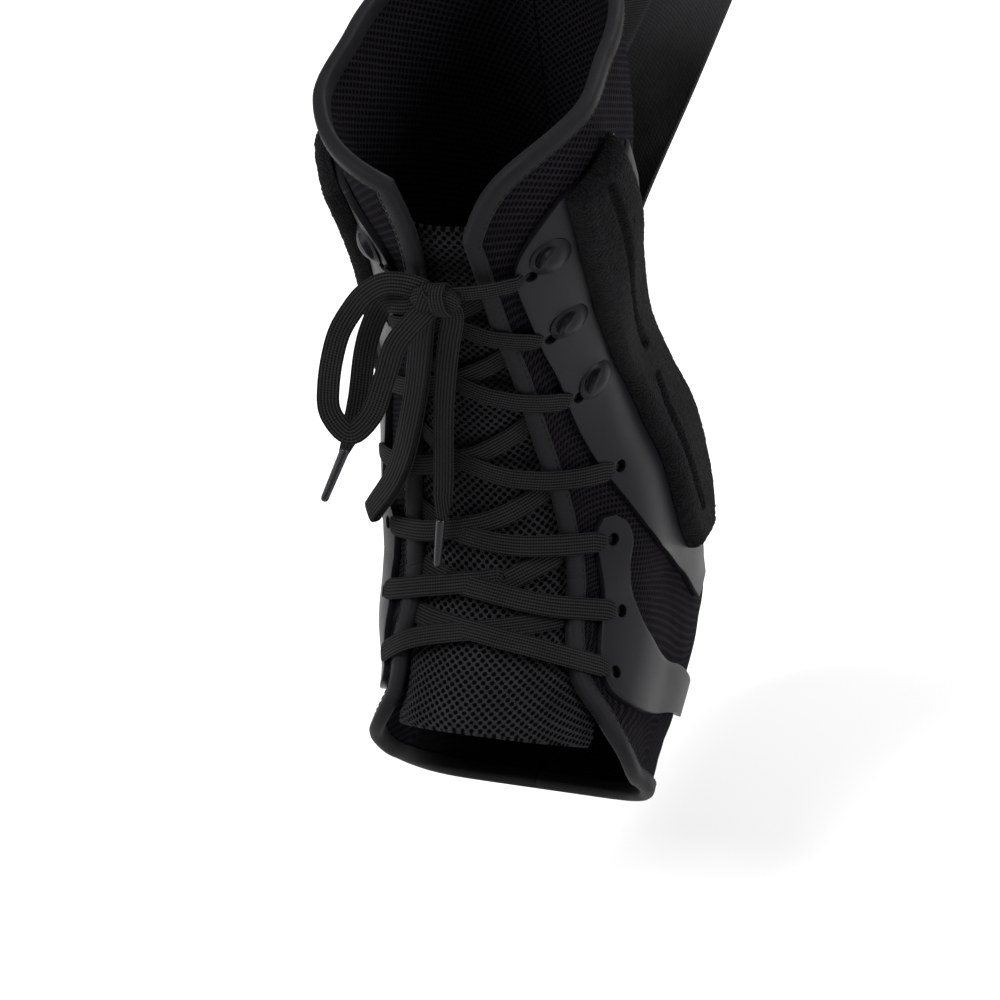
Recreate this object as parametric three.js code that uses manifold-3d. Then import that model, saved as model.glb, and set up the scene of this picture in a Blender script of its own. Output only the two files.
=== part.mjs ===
// Lace-up ankle brace for the left foot: a mesh boot, open at the leg, at the toes and down the
// front, laced over a padded tongue, stiffened on each side by two moulded plates and a stay under
// a pile cover, with two webbing straps that rise behind it.
// Millimetres. +X is the outer side of the foot, -Y is forward, +Z is up from the sole. The origin
// is the middle of the ankle joint, inside the hollow.
import * as THREE from 'three';
import { mergeVertices } from 'three/addons/utils/BufferGeometryUtils.js';
import Module from 'manifold-3d';

// The limb that the brace is laced round, measured from the ankle joint
const legRise = 180;
const soleDrop = 83;
const toeReach = 127;
const heelReach = 61;
const ankleHalfWidth = 40;

// Walls, sheets and tapes
const shellWall = 2.5;
const tongueThick = 3.5;
const tongueEdgeThick = 1.8;
const tongueEdgeShare = 0.25;
const plateThick = 1.5;
const padThick = 5.5;
const padEdgeThick = 2.4;
const tapeThick = 0.8;
const tapeWidth = 6;
const coverTapeThick = 1.2;
const webbingThick = 1.4;
const webbingWidth = 38;

// Laces, their ends, and the hooks and eyelets that they run through
const laceWidth = 6.5;
const laceThick = 1.4;
const laceEndWidth = 4;
const agletRadius = 1.5;
const eyeletRadius = 2;
const hookRadius = 5.6;
const hookHeight = 2.4;
const hookSlotWidth = 0.9;
const knotSize = new THREE.Vector3(15, 9, 11);

// Slots in the pile cover
const coverSlotWidth = 1.6;
const coverSlotDepth = 2;

// Clearances between pieces that lie on one another
const layerGap = 0.7;
const tapeGap = 0.5;
const laceGap = 1;

// Where the pieces of the shell end, in stations down the limb and degrees round it
const flapFullAngle = 62;
const flapEndAngle = 90;
const topStation = 0;
const toeStation = 11;
const topCornerSharpness = 13;
const toeCornerSharpness = 5;

const wasm = await Module();
wasm.setup();

const fabricBlack = new THREE.MeshStandardMaterial({ color: 0x121214, roughness: 0.92, metalness: 0 });
const bindingBlack = new THREE.MeshStandardMaterial({ color: 0x26272a, roughness: 0.6, metalness: 0 });
const plasticBlack = new THREE.MeshStandardMaterial({ color: 0x1c1d20, roughness: 0.45, metalness: 0 });
const pileBlack = new THREE.MeshStandardMaterial({ color: 0x0c0c0d, roughness: 1, metalness: 0 });
const webbingBlack = new THREE.MeshStandardMaterial({ color: 0x1a1b1d, roughness: 0.7, metalness: 0 });
const laceBlack = new THREE.MeshStandardMaterial({ color: 0x101011, roughness: 0.85, metalness: 0 });

const brace = new THREE.Group();

function addPiece(name, geometry, material) {
  const piece = new THREE.Mesh(geometry, material);
  piece.name = name;
  brace.add(piece);
}

// Turns a table with named columns into rows that can be read by column name
function table(columns, rows) {
  return rows.map((row) => Object.fromEntries(columns.map((column, index) => [column, row[index]])));
}

// Reads a table between its rows on a smooth curve. The place is in the key column's own units,
// or in rows where no key is given.
function readTable(rows, place, key) {
  const where = (index) => (key ? rows[index][key] : index);
  const last = rows.length - 1;
  let low = 0;
  while (low < last - 1 && where(low + 1) < place) low += 1;
  const high = low + 1;
  const before = Math.max(low - 1, 0);
  const after = Math.min(high + 1, last);
  const span = where(high) - where(low);
  const share = (place - where(low)) / span;
  const read = {};
  for (const column of Object.keys(rows[0])) {
    const start = rows[low][column];
    const end = rows[high][column];
    const startSlope = ((end - rows[before][column]) / (where(high) - where(before))) * span;
    const endSlope = ((rows[after][column] - start) / (where(after) - where(low))) * span;
    if (share < 0) {
      read[column] = start + startSlope * share;
    } else if (share > 1) {
      read[column] = end + endSlope * (share - 1);
    } else {
      const square = share * share;
      const cube = square * share;
      read[column] = start * (2 * cube - 3 * square + 1) + end * (3 * square - 2 * cube)
        + startSlope * (cube - 2 * square + share) + endSlope * (cube - square);
    }
  }
  return read;
}

// Sections of the limb, from the leg opening down over the heel to the toe edge. Each has a front
// and a back point. Along is a share of toeReach forward and of heelReach backward, and up is a
// share of legRise upward and of soleDrop downward. Outer and inner are half widths, and ridge is
// how far the front line stands to the outer side, as shares of ankleHalfWidth. Front and back
// round are how square the two halves are, and widest is where the widest place lies.
const limbSections = table(
  ['frontAlong', 'frontUp', 'backAlong', 'backUp', 'outer', 'inner', 'frontRound', 'backRound',
    'widest', 'ridge'],
  [
    [-0.72, 0.86, 0.11, 1.00, 0.95, 0.85, 2.2, 2.0, 0.50, 0],
    [-0.60, 0.645, 0.16, 0.767, 0.925, 0.70, 2.2, 1.9, 0.50, 0],
    [-0.51, 0.467, 0.21, 0.567, 0.75, 0.70, 2.2, 1.8, 0.52, -0.05],
    [-0.457, 0.311, 0.31, 0.411, 0.675, 0.825, 2.2, 1.8, 0.54, -0.10],
    [-0.433, 0.178, 0.49, 0.278, 0.725, 0.925, 2.2, 1.8, 0.55, -0.125],
    [-0.449, 0.072, 0.74, 0.111, 0.825, 1.00, 2.2, 1.9, 0.55, -0.125],
    [-0.488, 0.006, 0.93, -0.145, 0.85, 1.025, 2.3, 2.0, 0.55, -0.10],
    [-0.543, -0.084, 1.00, -0.53, 0.825, 1.025, 2.3, 2.2, 0.52, -0.10],
    [-0.614, -0.157, 0.82, -0.867, 0.84, 1.00, 2.3, 2.4, 0.50, -0.075],
    [-0.70, -0.241, 0.295, -1, 0.875, 0.85, 2.3, 2.6, 0.48, -0.05],
    [-0.795, -0.325, -0.142, -1, 0.95, 0.79, 2.3, 2.6, 0.46, -0.025],
    [-0.90, -0.41, -0.394, -0.99, 1.05, 0.84, 2.3, 2.6, 0.44, 0],
    [-1, -0.506, -0.63, -0.976, 1.125, 0.93, 2.3, 2.6, 0.42, 0],
  ],
);

const fromShares = (along, up) => new THREE.Vector3(
  0,
  along * (along < 0 ? toeReach : heelReach),
  up * (up < 0 ? soleDrop : legRise),
);

const signedPower = (value, power) => Math.sign(value) * Math.abs(value) ** power;

// A point on the limb's skin. The angle is 0 at the middle of the front, positive round the outer
// side, negative round the inner side and 180 at the back or under the sole.
function onSkin(station, angle) {
  const section = readTable(limbSections, station);
  const front = fromShares(section.frontAlong, section.frontUp);
  const back = fromShares(section.backAlong, section.backUp);
  const middle = back.clone().lerp(front, section.widest);
  const turn = THREE.MathUtils.degToRad(angle);
  const forward = Math.cos(turn);
  const sideways = Math.sin(turn);
  const power = 2 / (forward > 0 ? section.frontRound : section.backRound);
  const reach = signedPower(forward, power);
  const arm = forward > 0 ? front.sub(middle) : middle.clone().sub(back);
  const halfWidth = (sideways > 0 ? section.outer : section.inner) * ankleHalfWidth;
  const ridge = section.ridge * ankleHalfWidth * Math.max(forward, 0) ** 1.5;
  const point = middle.addScaledVector(arm, reach);
  point.x += signedPower(sideways, power) * halfWidth + ridge;
  return point;
}

const stationStep = 0.02;
const angleStep = 1;

// The direction straight out of the skin
function skinNormal(station, angle) {
  const down = onSkin(station + stationStep, angle).sub(onSkin(station - stationStep, angle));
  const round = onSkin(station, angle + angleStep).sub(onSkin(station, angle - angleStep));
  return down.cross(round).normalize();
}

const onLimb = (station, angle, height) => onSkin(station, angle)
  .addScaledVector(skinNormal(station, angle), height);

// The front opening's two edges, in degrees either side of the middle of the front
const openingEdges = table(
  ['station', 'outerEdge', 'innerEdge'],
  [
    [0, 12, 8],
    [0.65, 12, 6],
    [1.5, 15, 12],
    [2.8, 26, 23],
    [4.2, 32, 27],
    [5.5, 33, 25],
    [7.5, 35, 24],
    [8.5, 38, 29],
    [9.3, 46, 33],
  ],
);
const cornerStations = { outerTop: 0.65, innerTop: 0.12, outerToe: 9.0, innerToe: 9.5 };

// Pieces are laid out on the outer side. On the inner side the front opening lies elsewhere, and
// each piece moves round with it.
function sideAngle(side, station, angle) {
  if (side > 0) return angle;
  const edges = readTable(openingEdges, station, 'station');
  return -(angle + edges.innerEdge - edges.outerEdge);
}

// Heights above the skin. The flaps lie on the tongue, and the sides and heel lie on the skin.
const flapLift = tongueThick + layerGap;
function shellInside(angle) {
  const share = THREE.MathUtils.smoothstep(Math.abs(angle), flapFullAngle, flapEndAngle);
  return flapLift * (1 - share);
}
const shellOutside = (angle) => shellInside(angle) + shellWall;
const plateInside = (angle) => shellOutside(angle) + layerGap;
const plateOutside = (angle) => plateInside(angle) + plateThick;
const coverInside = (angle) => plateOutside(angle) + layerGap;

// A closed solid between two sheets of points, each read at shares down and across
function sheetSolid(downSteps, acrossSteps, insidePoint, outsidePoint) {
  const points = [];
  for (const pointAt of [insidePoint, outsidePoint]) {
    for (let down = 0; down <= downSteps; down += 1) {
      for (let across = 0; across <= acrossSteps; across += 1) {
        points.push(pointAt(down / downSteps, across / acrossSteps));
      }
    }
  }
  const perRow = acrossSteps + 1;
  const perSheet = perRow * (downSteps + 1);
  const inside = (down, across) => down * perRow + across;
  const outside = (down, across) => inside(down, across) + perSheet;
  const faces = [];
  const addQuad = (a, b, c, d) => faces.push(a, b, c, a, c, d);
  for (let down = 0; down < downSteps; down += 1) {
    for (let across = 0; across < acrossSteps; across += 1) {
      const corners = [[down, across], [down + 1, across], [down + 1, across + 1], [down, across + 1]];
      addQuad(...corners.map(([row, column]) => outside(row, column)));
      addQuad(...corners.reverse().map(([row, column]) => inside(row, column)));
    }
    addQuad(inside(down, 0), inside(down + 1, 0), outside(down + 1, 0), outside(down, 0));
    addQuad(outside(down, acrossSteps), outside(down + 1, acrossSteps),
      inside(down + 1, acrossSteps), inside(down, acrossSteps));
  }
  for (let across = 0; across < acrossSteps; across += 1) {
    addQuad(outside(0, across), outside(0, across + 1), inside(0, across + 1), inside(0, across));
    addQuad(inside(downSteps, across), inside(downSteps, across + 1),
      outside(downSteps, across + 1), outside(downSteps, across));
  }
  return facedOutward(points, faces);
}

// Makes a geometry of a closed set of faces, turned round where they point inwards
function facedOutward(points, faces) {
  let volume = 0;
  for (let face = 0; face < faces.length; face += 3) {
    const [a, b, c] = [points[faces[face]], points[faces[face + 1]], points[faces[face + 2]]];
    volume += a.dot(b.clone().cross(c));
  }
  const ordered = volume > 0 ? faces : faces.slice().reverse();
  const geometry = new THREE.BufferGeometry().setFromPoints(points);
  geometry.setIndex(ordered);
  geometry.computeVertexNormals();
  return geometry;
}

function toSolid(geometry) {
  const bare = geometry.clone();
  bare.deleteAttribute('normal');
  bare.deleteAttribute('uv');
  const merged = mergeVertices(bare);
  return new wasm.Manifold(new wasm.Mesh({
    numProp: 3,
    vertProperties: new Float32Array(merged.attributes.position.array),
    triVerts: new Uint32Array(merged.index.array),
  }));
}

function toGeometry(solid) {
  const mesh = solid.getMesh();
  const geometry = new THREE.BufferGeometry();
  geometry.setAttribute('position', new THREE.BufferAttribute(mesh.vertProperties, 3));
  geometry.setIndex(new THREE.BufferAttribute(mesh.triVerts, 1));
  geometry.computeVertexNormals();
  return geometry;
}

function cutAway(geometry, cutters) {
  const solid = cutters.reduce((left, cutter) => left.subtract(toSolid(cutter)), toSolid(geometry));
  return toGeometry(solid);
}

// A closed solid through a row of closed loops with equally many points
function loftSolid(loops) {
  const perLoop = loops[0].length;
  const faces = [];
  for (let loop = 0; loop < loops.length - 1; loop += 1) {
    for (let index = 0; index < perLoop; index += 1) {
      const a = loop * perLoop + index;
      const b = loop * perLoop + ((index + 1) % perLoop);
      faces.push(a, b, b + perLoop, a, b + perLoop, a + perLoop);
    }
  }
  const lastLoop = (loops.length - 1) * perLoop;
  for (const [a, b, c] of flatTriangles(loops[0])) {
    faces.push(c, b, a, lastLoop + a, lastLoop + b, lastLoop + c);
  }
  return facedOutward(loops.flat(), faces);
}

// Triangles that fill a flat loop, found in its own plane
function flatTriangles(outline) {
  const normal = new THREE.Vector3();
  outline.forEach((point, index) => {
    const step = point.clone().sub(outline[0]);
    normal.add(step.cross(outline[(index + 1) % outline.length].clone().sub(outline[0])));
  });
  normal.normalize();
  const across = outline[1].clone().sub(outline[0]).normalize();
  const up = normal.clone().cross(across);
  const flat = outline.map((point) => new THREE.Vector2(point.dot(across), point.dot(up)));
  return THREE.ShapeUtils.triangulateShape(flat, []).map(([a, b, c]) => {
    const isTurned = THREE.ShapeUtils.area([flat[a], flat[b], flat[c]]) < 0;
    return isTurned ? [c, b, a] : [a, b, c];
  });
}

// The mesh boot. It is read by a share down from the top binding to the toe edge, and a share
// across from the outer flap's edge round the back to the inner flap's edge.
const shellDownSteps = 24;
const shellAcrossSteps = 26;

function shellPoint(down, across, height) {
  const isOuter = across < 0.5;
  const edgeStation = isOuter
    ? THREE.MathUtils.lerp(cornerStations.outerTop, cornerStations.outerToe, down)
    : THREE.MathUtils.lerp(cornerStations.innerTop, cornerStations.innerToe, down);
  const edges = readTable(openingEdges, edgeStation, 'station');
  const edgeAngle = isOuter ? edges.outerEdge : edges.innerEdge;
  const toEdge = Math.abs(across - 0.5) * 2;
  const angle = THREE.MathUtils.lerp(180, edgeAngle, toEdge);
  const backStation = THREE.MathUtils.lerp(topStation, toeStation, down);
  const sharpness = THREE.MathUtils.lerp(topCornerSharpness, toeCornerSharpness, down);
  const station = THREE.MathUtils.lerp(backStation, edgeStation, toEdge ** sharpness);
  return onLimb(station, isOuter ? angle : -angle, shellInside(angle) + height);
}

addPiece('boot_shell', sheetSolid(
  shellDownSteps,
  shellAcrossSteps,
  (down, across) => shellPoint(down, across, 0),
  (down, across) => shellPoint(down, across, shellWall),
), fabricBlack);

// The tape that binds the shell's edge. Each half runs from the middle of the sole edge up one
// flap and round the top to the middle of the back.
const bindingEndShare = 0.0012;

function bindingRoute(side) {
  const edge = side > 0 ? 0 : 1;
  const half = shellAcrossSteps / 2;
  const acrossAt = (step) => 0.5 - side * Math.max(step / shellAcrossSteps, bindingEndShare);
  const route = [];
  for (let step = 0; step < half; step += 1) {
    route.push([1, acrossAt(step)]);
  }
  for (let step = shellDownSteps; step >= 0; step -= 1) {
    route.push([step / shellDownSteps, edge]);
  }
  for (let step = half - 1; step >= 0; step -= 1) {
    route.push([0, acrossAt(step)]);
  }
  return route;
}

// The place on the shell, as its two shares, that lies nearest to a point close to its face
function nearestOnShell(point, down, across) {
  const nudge = 0.002;
  const place = [down, across];
  for (let round = 0; round < 3; round += 1) {
    const here = shellPoint(...place, 0);
    const alongDown = shellPoint(place[0] + nudge, place[1], 0).sub(here).divideScalar(nudge);
    const alongAcross = shellPoint(place[0], place[1] + nudge, 0).sub(here).divideScalar(nudge);
    const miss = point.clone().sub(here);
    const [dd, da, aa] = [alongDown.lengthSq(), alongDown.dot(alongAcross), alongAcross.lengthSq()];
    const [md, ma] = [miss.dot(alongDown), miss.dot(alongAcross)];
    const spread = dd * aa - da * da;
    place[0] = THREE.MathUtils.clamp(place[0] + (md * aa - ma * da) / spread, 0, 1);
    place[1] = THREE.MathUtils.clamp(place[1] + (ma * dd - md * da) / spread, 0, 1);
  }
  return place;
}

// In section the tape is an angle: one leg lies on the shell's face, the other covers the cut
// edge. Its corner is mitred where the edge turns.
function bindingSection(side, route, points, index) {
  const point = points[index];
  const [down, across] = route[index];
  const out = shellPoint(down, across, shellWall).sub(point).normalize();
  const turns = [[points[index - 1], point], [point, points[index + 1]]]
    .filter(([from, to]) => from && to)
    .map(([from, to]) => out.clone().cross(to.clone().sub(from)).multiplyScalar(side).normalize());
  const past = turns[0].clone().add(turns[turns.length - 1]).normalize();
  past.divideScalar(past.dot(turns[0]));
  const inner = nearestOnShell(point.clone().addScaledVector(past, -tapeWidth), down, across);
  const legInside = shellWall + tapeGap;
  const at = (reach, height) => point.clone().addScaledVector(past, reach).addScaledVector(out, height);
  return [
    shellPoint(...inner, legInside),
    at(tapeGap, legInside),
    at(tapeGap, 0),
    at(tapeGap + tapeThick, 0),
    at(tapeGap + tapeThick, legInside + tapeThick),
    shellPoint(...inner, legInside + tapeThick),
  ];
}

function bindingSolid(side) {
  const route = bindingRoute(side);
  const points = route.map(([down, across]) => shellPoint(down, across, 0));
  return loftSolid(route.map((place, index) => bindingSection(side, route, points, index)));
}

// The padded tongue, thinner along its two hidden sides
const tongue = { top: 0.66, bottom: 10.12, outerAngle: 56, innerAngle: -46 };

function tonguePoint(down, across, height) {
  const station = THREE.MathUtils.lerp(tongue.top, tongue.bottom, down);
  const angle = THREE.MathUtils.lerp(tongue.outerAngle, tongue.innerAngle, across);
  return onLimb(station, angle, height);
}

function tongueHeight(across) {
  const full = THREE.MathUtils.smoothstep(Math.min(across, 1 - across), 0, tongueEdgeShare);
  return THREE.MathUtils.lerp(tongueEdgeThick, tongueThick, full);
}

addPiece('tongue', sheetSolid(
  17,
  7,
  (down, across) => tonguePoint(down, across, 0),
  (down, across) => tonguePoint(down, across, tongueHeight(across)),
), fabricBlack);

// A strip of a side, laid out by a table of its front and rear edges from top to bottom
const stripColumns = ['frontStation', 'frontAngle', 'rearStation', 'rearAngle'];

function stripPoint(side, strip, down, across, heightAt) {
  const row = readTable(strip, down * (strip.length - 1));
  const station = THREE.MathUtils.lerp(row.frontStation, row.rearStation, across);
  const angle = THREE.MathUtils.lerp(row.frontAngle, row.rearAngle, across);
  const turned = sideAngle(side, station, angle);
  return onLimb(station, turned, heightAt(turned));
}

function stripSolid(side, strip, downSteps, acrossSteps, insideAt, outsideAt) {
  return sheetSolid(
    downSteps,
    acrossSteps,
    (down, across) => stripPoint(side, strip, down, across, insideAt),
    (down, across) => stripPoint(side, strip, down, across, (angle) => outsideAt(angle, down, across)),
  );
}

// The upper plate starts below the top binding, carries the hooks and runs down past the ankle
const upperPlate = table(stripColumns, [
  [0.50, 46, 0.42, 76],
  [0.62, 38, 0.75, 79],
  [0.80, 30, 1.10, 82],
  [1.00, 26, 1.40, 85],
  [1.30, 27, 1.80, 88],
  [2.05, 35, 2.40, 92],
  [2.70, 43, 3.00, 94],
  [4.10, 53, 4.20, 98],
  [5.60, 67, 5.50, 101],
  [6.60, 82, 6.40, 103],
  [7.45, 95, 7.10, 107],
  [7.75, 102, 7.50, 110],
]);

// The lower plate starts in a round lobe, carries three eyelets and sweeps back under the ankle
const lowerPlate = table(stripColumns, [
  [4.92, 48, 4.96, 53],
  [5.15, 44.5, 5.20, 57],
  [5.50, 43.5, 5.60, 58],
  [5.95, 44, 6.15, 55.5],
  [6.70, 45.5, 6.95, 58],
  [7.60, 45.5, 7.65, 63],
  [8.30, 46.5, 8.05, 69],
  [9.00, 52, 8.30, 75],
  [9.35, 60, 8.50, 83],
  [9.55, 74, 8.65, 92],
  [9.60, 96, 8.85, 104],
  [9.65, 112, 9.00, 114],
]);

// The pile cover over the stay lies on the upper plate's rear half, from the top to the heel
const stayCover = table(stripColumns, [
  [0.50, 48, 0.33, 72],
  [0.80, 48.5, 0.65, 76],
  [1.15, 50, 1.10, 82],
  [1.60, 55, 1.60, 90],
  [2.10, 61, 2.10, 98],
  [2.75, 70, 2.75, 106],
  [3.45, 78.5, 3.45, 112],
  [4.35, 82, 4.35, 115],
  [5.00, 84, 5.00, 114],
  [5.65, 86, 5.65, 112],
  [6.30, 89, 6.30, 108],
  [6.80, 93, 6.75, 104],
]);

// The slots in the pile cover, each a station and an angle from its top to its bottom
const coverSlots = [
  table(['station', 'angle'], [[0.55, 61], [1.20, 66], [2.20, 79], [3.10, 90]]),
  table(['station', 'angle'], [[3.70, 92], [4.80, 91], [6.00, 95]]),
];

// The lace holes of a side from the top down, and where the lace that starts at each one tucks
// under the two flaps' edges
const laceHoles = table(['station', 'angle', 'innerTuck', 'outerTuck'], [
  [1.05, 31, 0, 0],
  [1.90, 38, 1.45, 1.25],
  [2.90, 50, 2.20, 2.05],
  [4.30, 61, 3.30, 3.05],
  [5.40, 50, 4.70, 4.10],
  [7.25, 53, 6.00, 5.30],
  [8.70, 54, 7.38, 7.08],
]);
const upperPlateHoles = laceHoles.slice(0, 4);
const lowerPlateHoles = laceHoles.slice(4);

// The hooks' middles, beside the three highest holes
const hooks = table(['station', 'angle'], [[0.93, 39], [1.78, 46], [2.82, 59]]);

// A frame on the limb: X round it, Y up it and Z straight out of it
function limbFrame(station, angle, height) {
  const out = skinNormal(station, angle);
  const up = onSkin(station - stationStep, angle).sub(onSkin(station + stationStep, angle));
  const round = up.cross(out).normalize();
  const frame = new THREE.Matrix4().makeBasis(round, out.clone().cross(round), out);
  return frame.setPosition(onLimb(station, angle, height));
}

const holeSides = 10;

function holeCutters(side, holes) {
  const depth = plateThick * 4;
  return holes.map(({ station, angle }) => {
    const turned = sideAngle(side, station, angle);
    return new THREE.CylinderGeometry(eyeletRadius, eyeletRadius, depth, holeSides)
      .rotateX(Math.PI / 2)
      .applyMatrix4(limbFrame(station, turned, plateInside(turned)));
  });
}

// A hook is a low round dome with a curved slot over its mouth
function hookSolid(side, hook) {
  const rimHeight = hookHeight * 0.35;
  const profile = [new THREE.Vector2(0, 0), new THREE.Vector2(hookRadius, 0)];
  const domeSteps = 3;
  for (let step = 0; step <= domeSteps; step += 1) {
    const turn = (step / domeSteps) * (Math.PI / 2);
    const rise = rimHeight + (hookHeight - rimHeight) * Math.sin(turn);
    profile.push(new THREE.Vector2(hookRadius * Math.cos(turn), rise));
  }
  profile[profile.length - 1].x = 0;
  const dome = new THREE.LatheGeometry(profile, 10).rotateX(Math.PI / 2);
  const slotRadius = hookRadius * 0.5;
  const slotStart = Math.PI * (side > 0 ? 0.55 : -0.05);
  const slotEnd = slotStart + Math.PI / 2;
  const slot = new THREE.Shape();
  slot.absarc(0, 0, slotRadius + hookSlotWidth, slotStart, slotEnd, false);
  slot.absarc(0, 0, slotRadius, slotEnd, slotStart, true);
  const cutter = new THREE.ExtrudeGeometry(slot, { depth: hookHeight, bevelEnabled: false, curveSegments: 3 })
    .translate(0, 0, hookHeight / 2);
  const turned = sideAngle(side, hook.station, hook.angle);
  return cutAway(dome, [cutter])
    .applyMatrix4(limbFrame(hook.station, turned, plateOutside(turned) + tapeGap));
}

// A raised pad is thinner round its rim
function coverOutside(angle, down, across) {
  const rimShare = 0.2;
  const toRim = Math.min(across, 1 - across, down * 3, (1 - down) * 3);
  const full = THREE.MathUtils.smoothstep(toRim, 0, rimShare);
  return coverInside(angle) + THREE.MathUtils.lerp(padEdgeThick, padThick, full);
}

function slotCutter(side, slot) {
  const steps = 8;
  const at = (down, across, rise) => {
    const { station, angle } = readTable(slot, down * (slot.length - 1));
    const turned = sideAngle(side, station, angle);
    const frame = limbFrame(station, turned, coverInside(turned) + padThick - coverSlotDepth + rise);
    return new THREE.Vector3((across - 0.5) * coverSlotWidth, 0, 0).applyMatrix4(frame);
  };
  return sheetSolid(
    steps,
    1,
    (down, across) => at(down, across, 0),
    (down, across) => at(down, across, coverSlotDepth + 1),
  );
}

// The tape along the cover's rear edge
const coverTapeTurn = 9;
const coverTapeStart = 1.2;
const coverTape = stayCover.slice(1, 10).map((row) => ({
  frontStation: row.rearStation,
  frontAngle: row.rearAngle + coverTapeStart,
  rearStation: row.rearStation,
  rearAngle: row.rearAngle + coverTapeTurn,
}));

// The straps are sewn to the shell's back and pulled up behind the leg. Each has the place where
// its sewn end lies, the middle of its upper end and the way its width runs there.
const strapSewn = { bottom: 3.0, top: 2.2, angle: 141, halfTurn: 29 };
const strapEnds = {
  outer: { top: new THREE.Vector3(41, 47, 154), width: new THREE.Vector3(0.78, -0.58, 0.23) },
  inner: { top: new THREE.Vector3(20, 58, 148), width: new THREE.Vector3(0.92, 0.39, -0.2) },
};

function strapMiddle(side, ends, down, across) {
  const height = shellWall + layerGap + webbingThick / 2;
  const turned = side * strapSewn.angle;
  const centre = new THREE.CatmullRomCurve3([
    onLimb(strapSewn.bottom, turned, height),
    onLimb(strapSewn.top, turned, height),
    ends.top,
  ]);
  const station = THREE.MathUtils.lerp(strapSewn.bottom, strapSewn.top, down * 2);
  const onShell = onLimb(station, turned + (0.5 - across) * 2 * strapSewn.halfTurn, height);
  const sewnWidth = onLimb(strapSewn.top, turned - angleStep, height)
    .sub(onLimb(strapSewn.top, turned + angleStep, height)).normalize();
  const width = sewnWidth.lerp(ends.width, THREE.MathUtils.smoothstep(down, 0.5, 1)).normalize();
  const flat = centre.getPoint(down).addScaledVector(width, (across - 0.5) * webbingWidth);
  return onShell.lerp(flat, THREE.MathUtils.smoothstep(down, 0.35, 0.8));
}

function strapSolid(side, ends) {
  const nudge = 0.01;
  const pointAt = (down, across, away) => {
    const at = (d, a) => strapMiddle(side, ends, d, a);
    const along = at(Math.min(down + nudge, 1), across).sub(at(Math.max(down - nudge, 0), across));
    const over = at(down, Math.min(across + nudge, 1)).sub(at(down, Math.max(across - nudge, 0)));
    return at(down, across).addScaledVector(along.cross(over).normalize(), away * webbingThick / 2);
  };
  return sheetSolid(14, 4, (d, a) => pointAt(d, a, -1), (d, a) => pointAt(d, a, 1));
}

// A flat lace through a row of places, each with its point, the way its face looks and its width
function laceSolid(places) {
  const corners = [[-0.5, -0.5], [0.5, -0.5], [0.5, 0.5], [-0.5, 0.5]];
  return loftSolid(places.map((place, index) => {
    const before = places[Math.max(index - 1, 0)].point;
    const after = places[Math.min(index + 1, places.length - 1)].point;
    const along = after.clone().sub(before).normalize();
    const across = along.clone().cross(place.face).normalize();
    const out = across.clone().cross(along);
    return corners.map(([x, z]) => place.point.clone()
      .addScaledVector(across, x * place.width)
      .addScaledVector(out, z * laceThick));
  }));
}

// Heights of a lace's middle above the skin: on a plate, over a binding, and on the tongue
const onPlateHeight = flapLift + shellWall + layerGap + plateThick + laceGap + laceThick / 2;
const onBindingHeight = flapLift + shellWall + tapeGap + tapeThick + laceGap + laceThick / 2;
const onTongueHeight = tongueThick + laceGap + laceThick / 2;
const tuckClearance = 8.5;
const fallClearance = 4;
const holeClearance = 2.5;

// One strand runs from its hole over its own flap's edge and across the tongue, falling until it
// meets the other flap's edge
function strandSolid(side, hole, tuckStation) {
  const steps = 7;
  const start = sideAngle(side, hole.station, hole.angle - holeClearance);
  const tuckEdges = readTable(openingEdges, tuckStation, 'station');
  const tuckAngle = side > 0 ? -tuckEdges.innerEdge : tuckEdges.outerEdge;
  const end = tuckAngle + side * tuckClearance;
  const places = [];
  for (let step = 0; step <= steps; step += 1) {
    const share = step / steps;
    const station = THREE.MathUtils.lerp(hole.station, tuckStation, share);
    const angle = THREE.MathUtils.lerp(start, end, share);
    const edges = readTable(openingEdges, station, 'station');
    const ownEdge = side > 0 ? edges.outerEdge : -edges.innerEdge;
    const onFlap = (angle - ownEdge) * side > 0;
    const fallen = THREE.MathUtils.mapLinear(angle, ownEdge - side * fallClearance, end, 0, 1);
    const height = onFlap
      ? THREE.MathUtils.mapLinear(angle, start, ownEdge, onPlateHeight, onBindingHeight)
      : THREE.MathUtils.lerp(onBindingHeight, onTongueHeight, Math.max(fallen, 0));
    places.push({
      point: onLimb(station, angle, height),
      face: skinNormal(station, angle),
      width: step === 0 ? laceEndWidth : laceWidth,
    });
  }
  return laceSolid(places);
}

// The knot rests on the inner flap's binding, in the middle of the opening
const knotPlace = { station: 1.03, angle: 1 };
const knotHeight = flapLift + shellWall + tapeGap + tapeThick + laceGap + knotSize.y / 2;
const knotTieHeight = knotHeight - 2;

function knotSolid() {
  const knot = new THREE.SphereGeometry(1, 12, 8);
  const position = knot.attributes.position;
  for (let index = 0; index < position.count; index += 1) {
    const waist = 0.85 + 0.15 * Math.abs(position.getX(index));
    position.setXYZ(
      index,
      position.getX(index) * knotSize.x / 2,
      position.getY(index) * waist * knotSize.z / 2,
      position.getZ(index) * waist * knotSize.y / 2,
    );
  }
  return knot.applyMatrix4(limbFrame(knotPlace.station, knotPlace.angle, knotHeight));
}

// How many degrees from the knot's middle its two strands end
const knotReach = 7.6;

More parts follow.
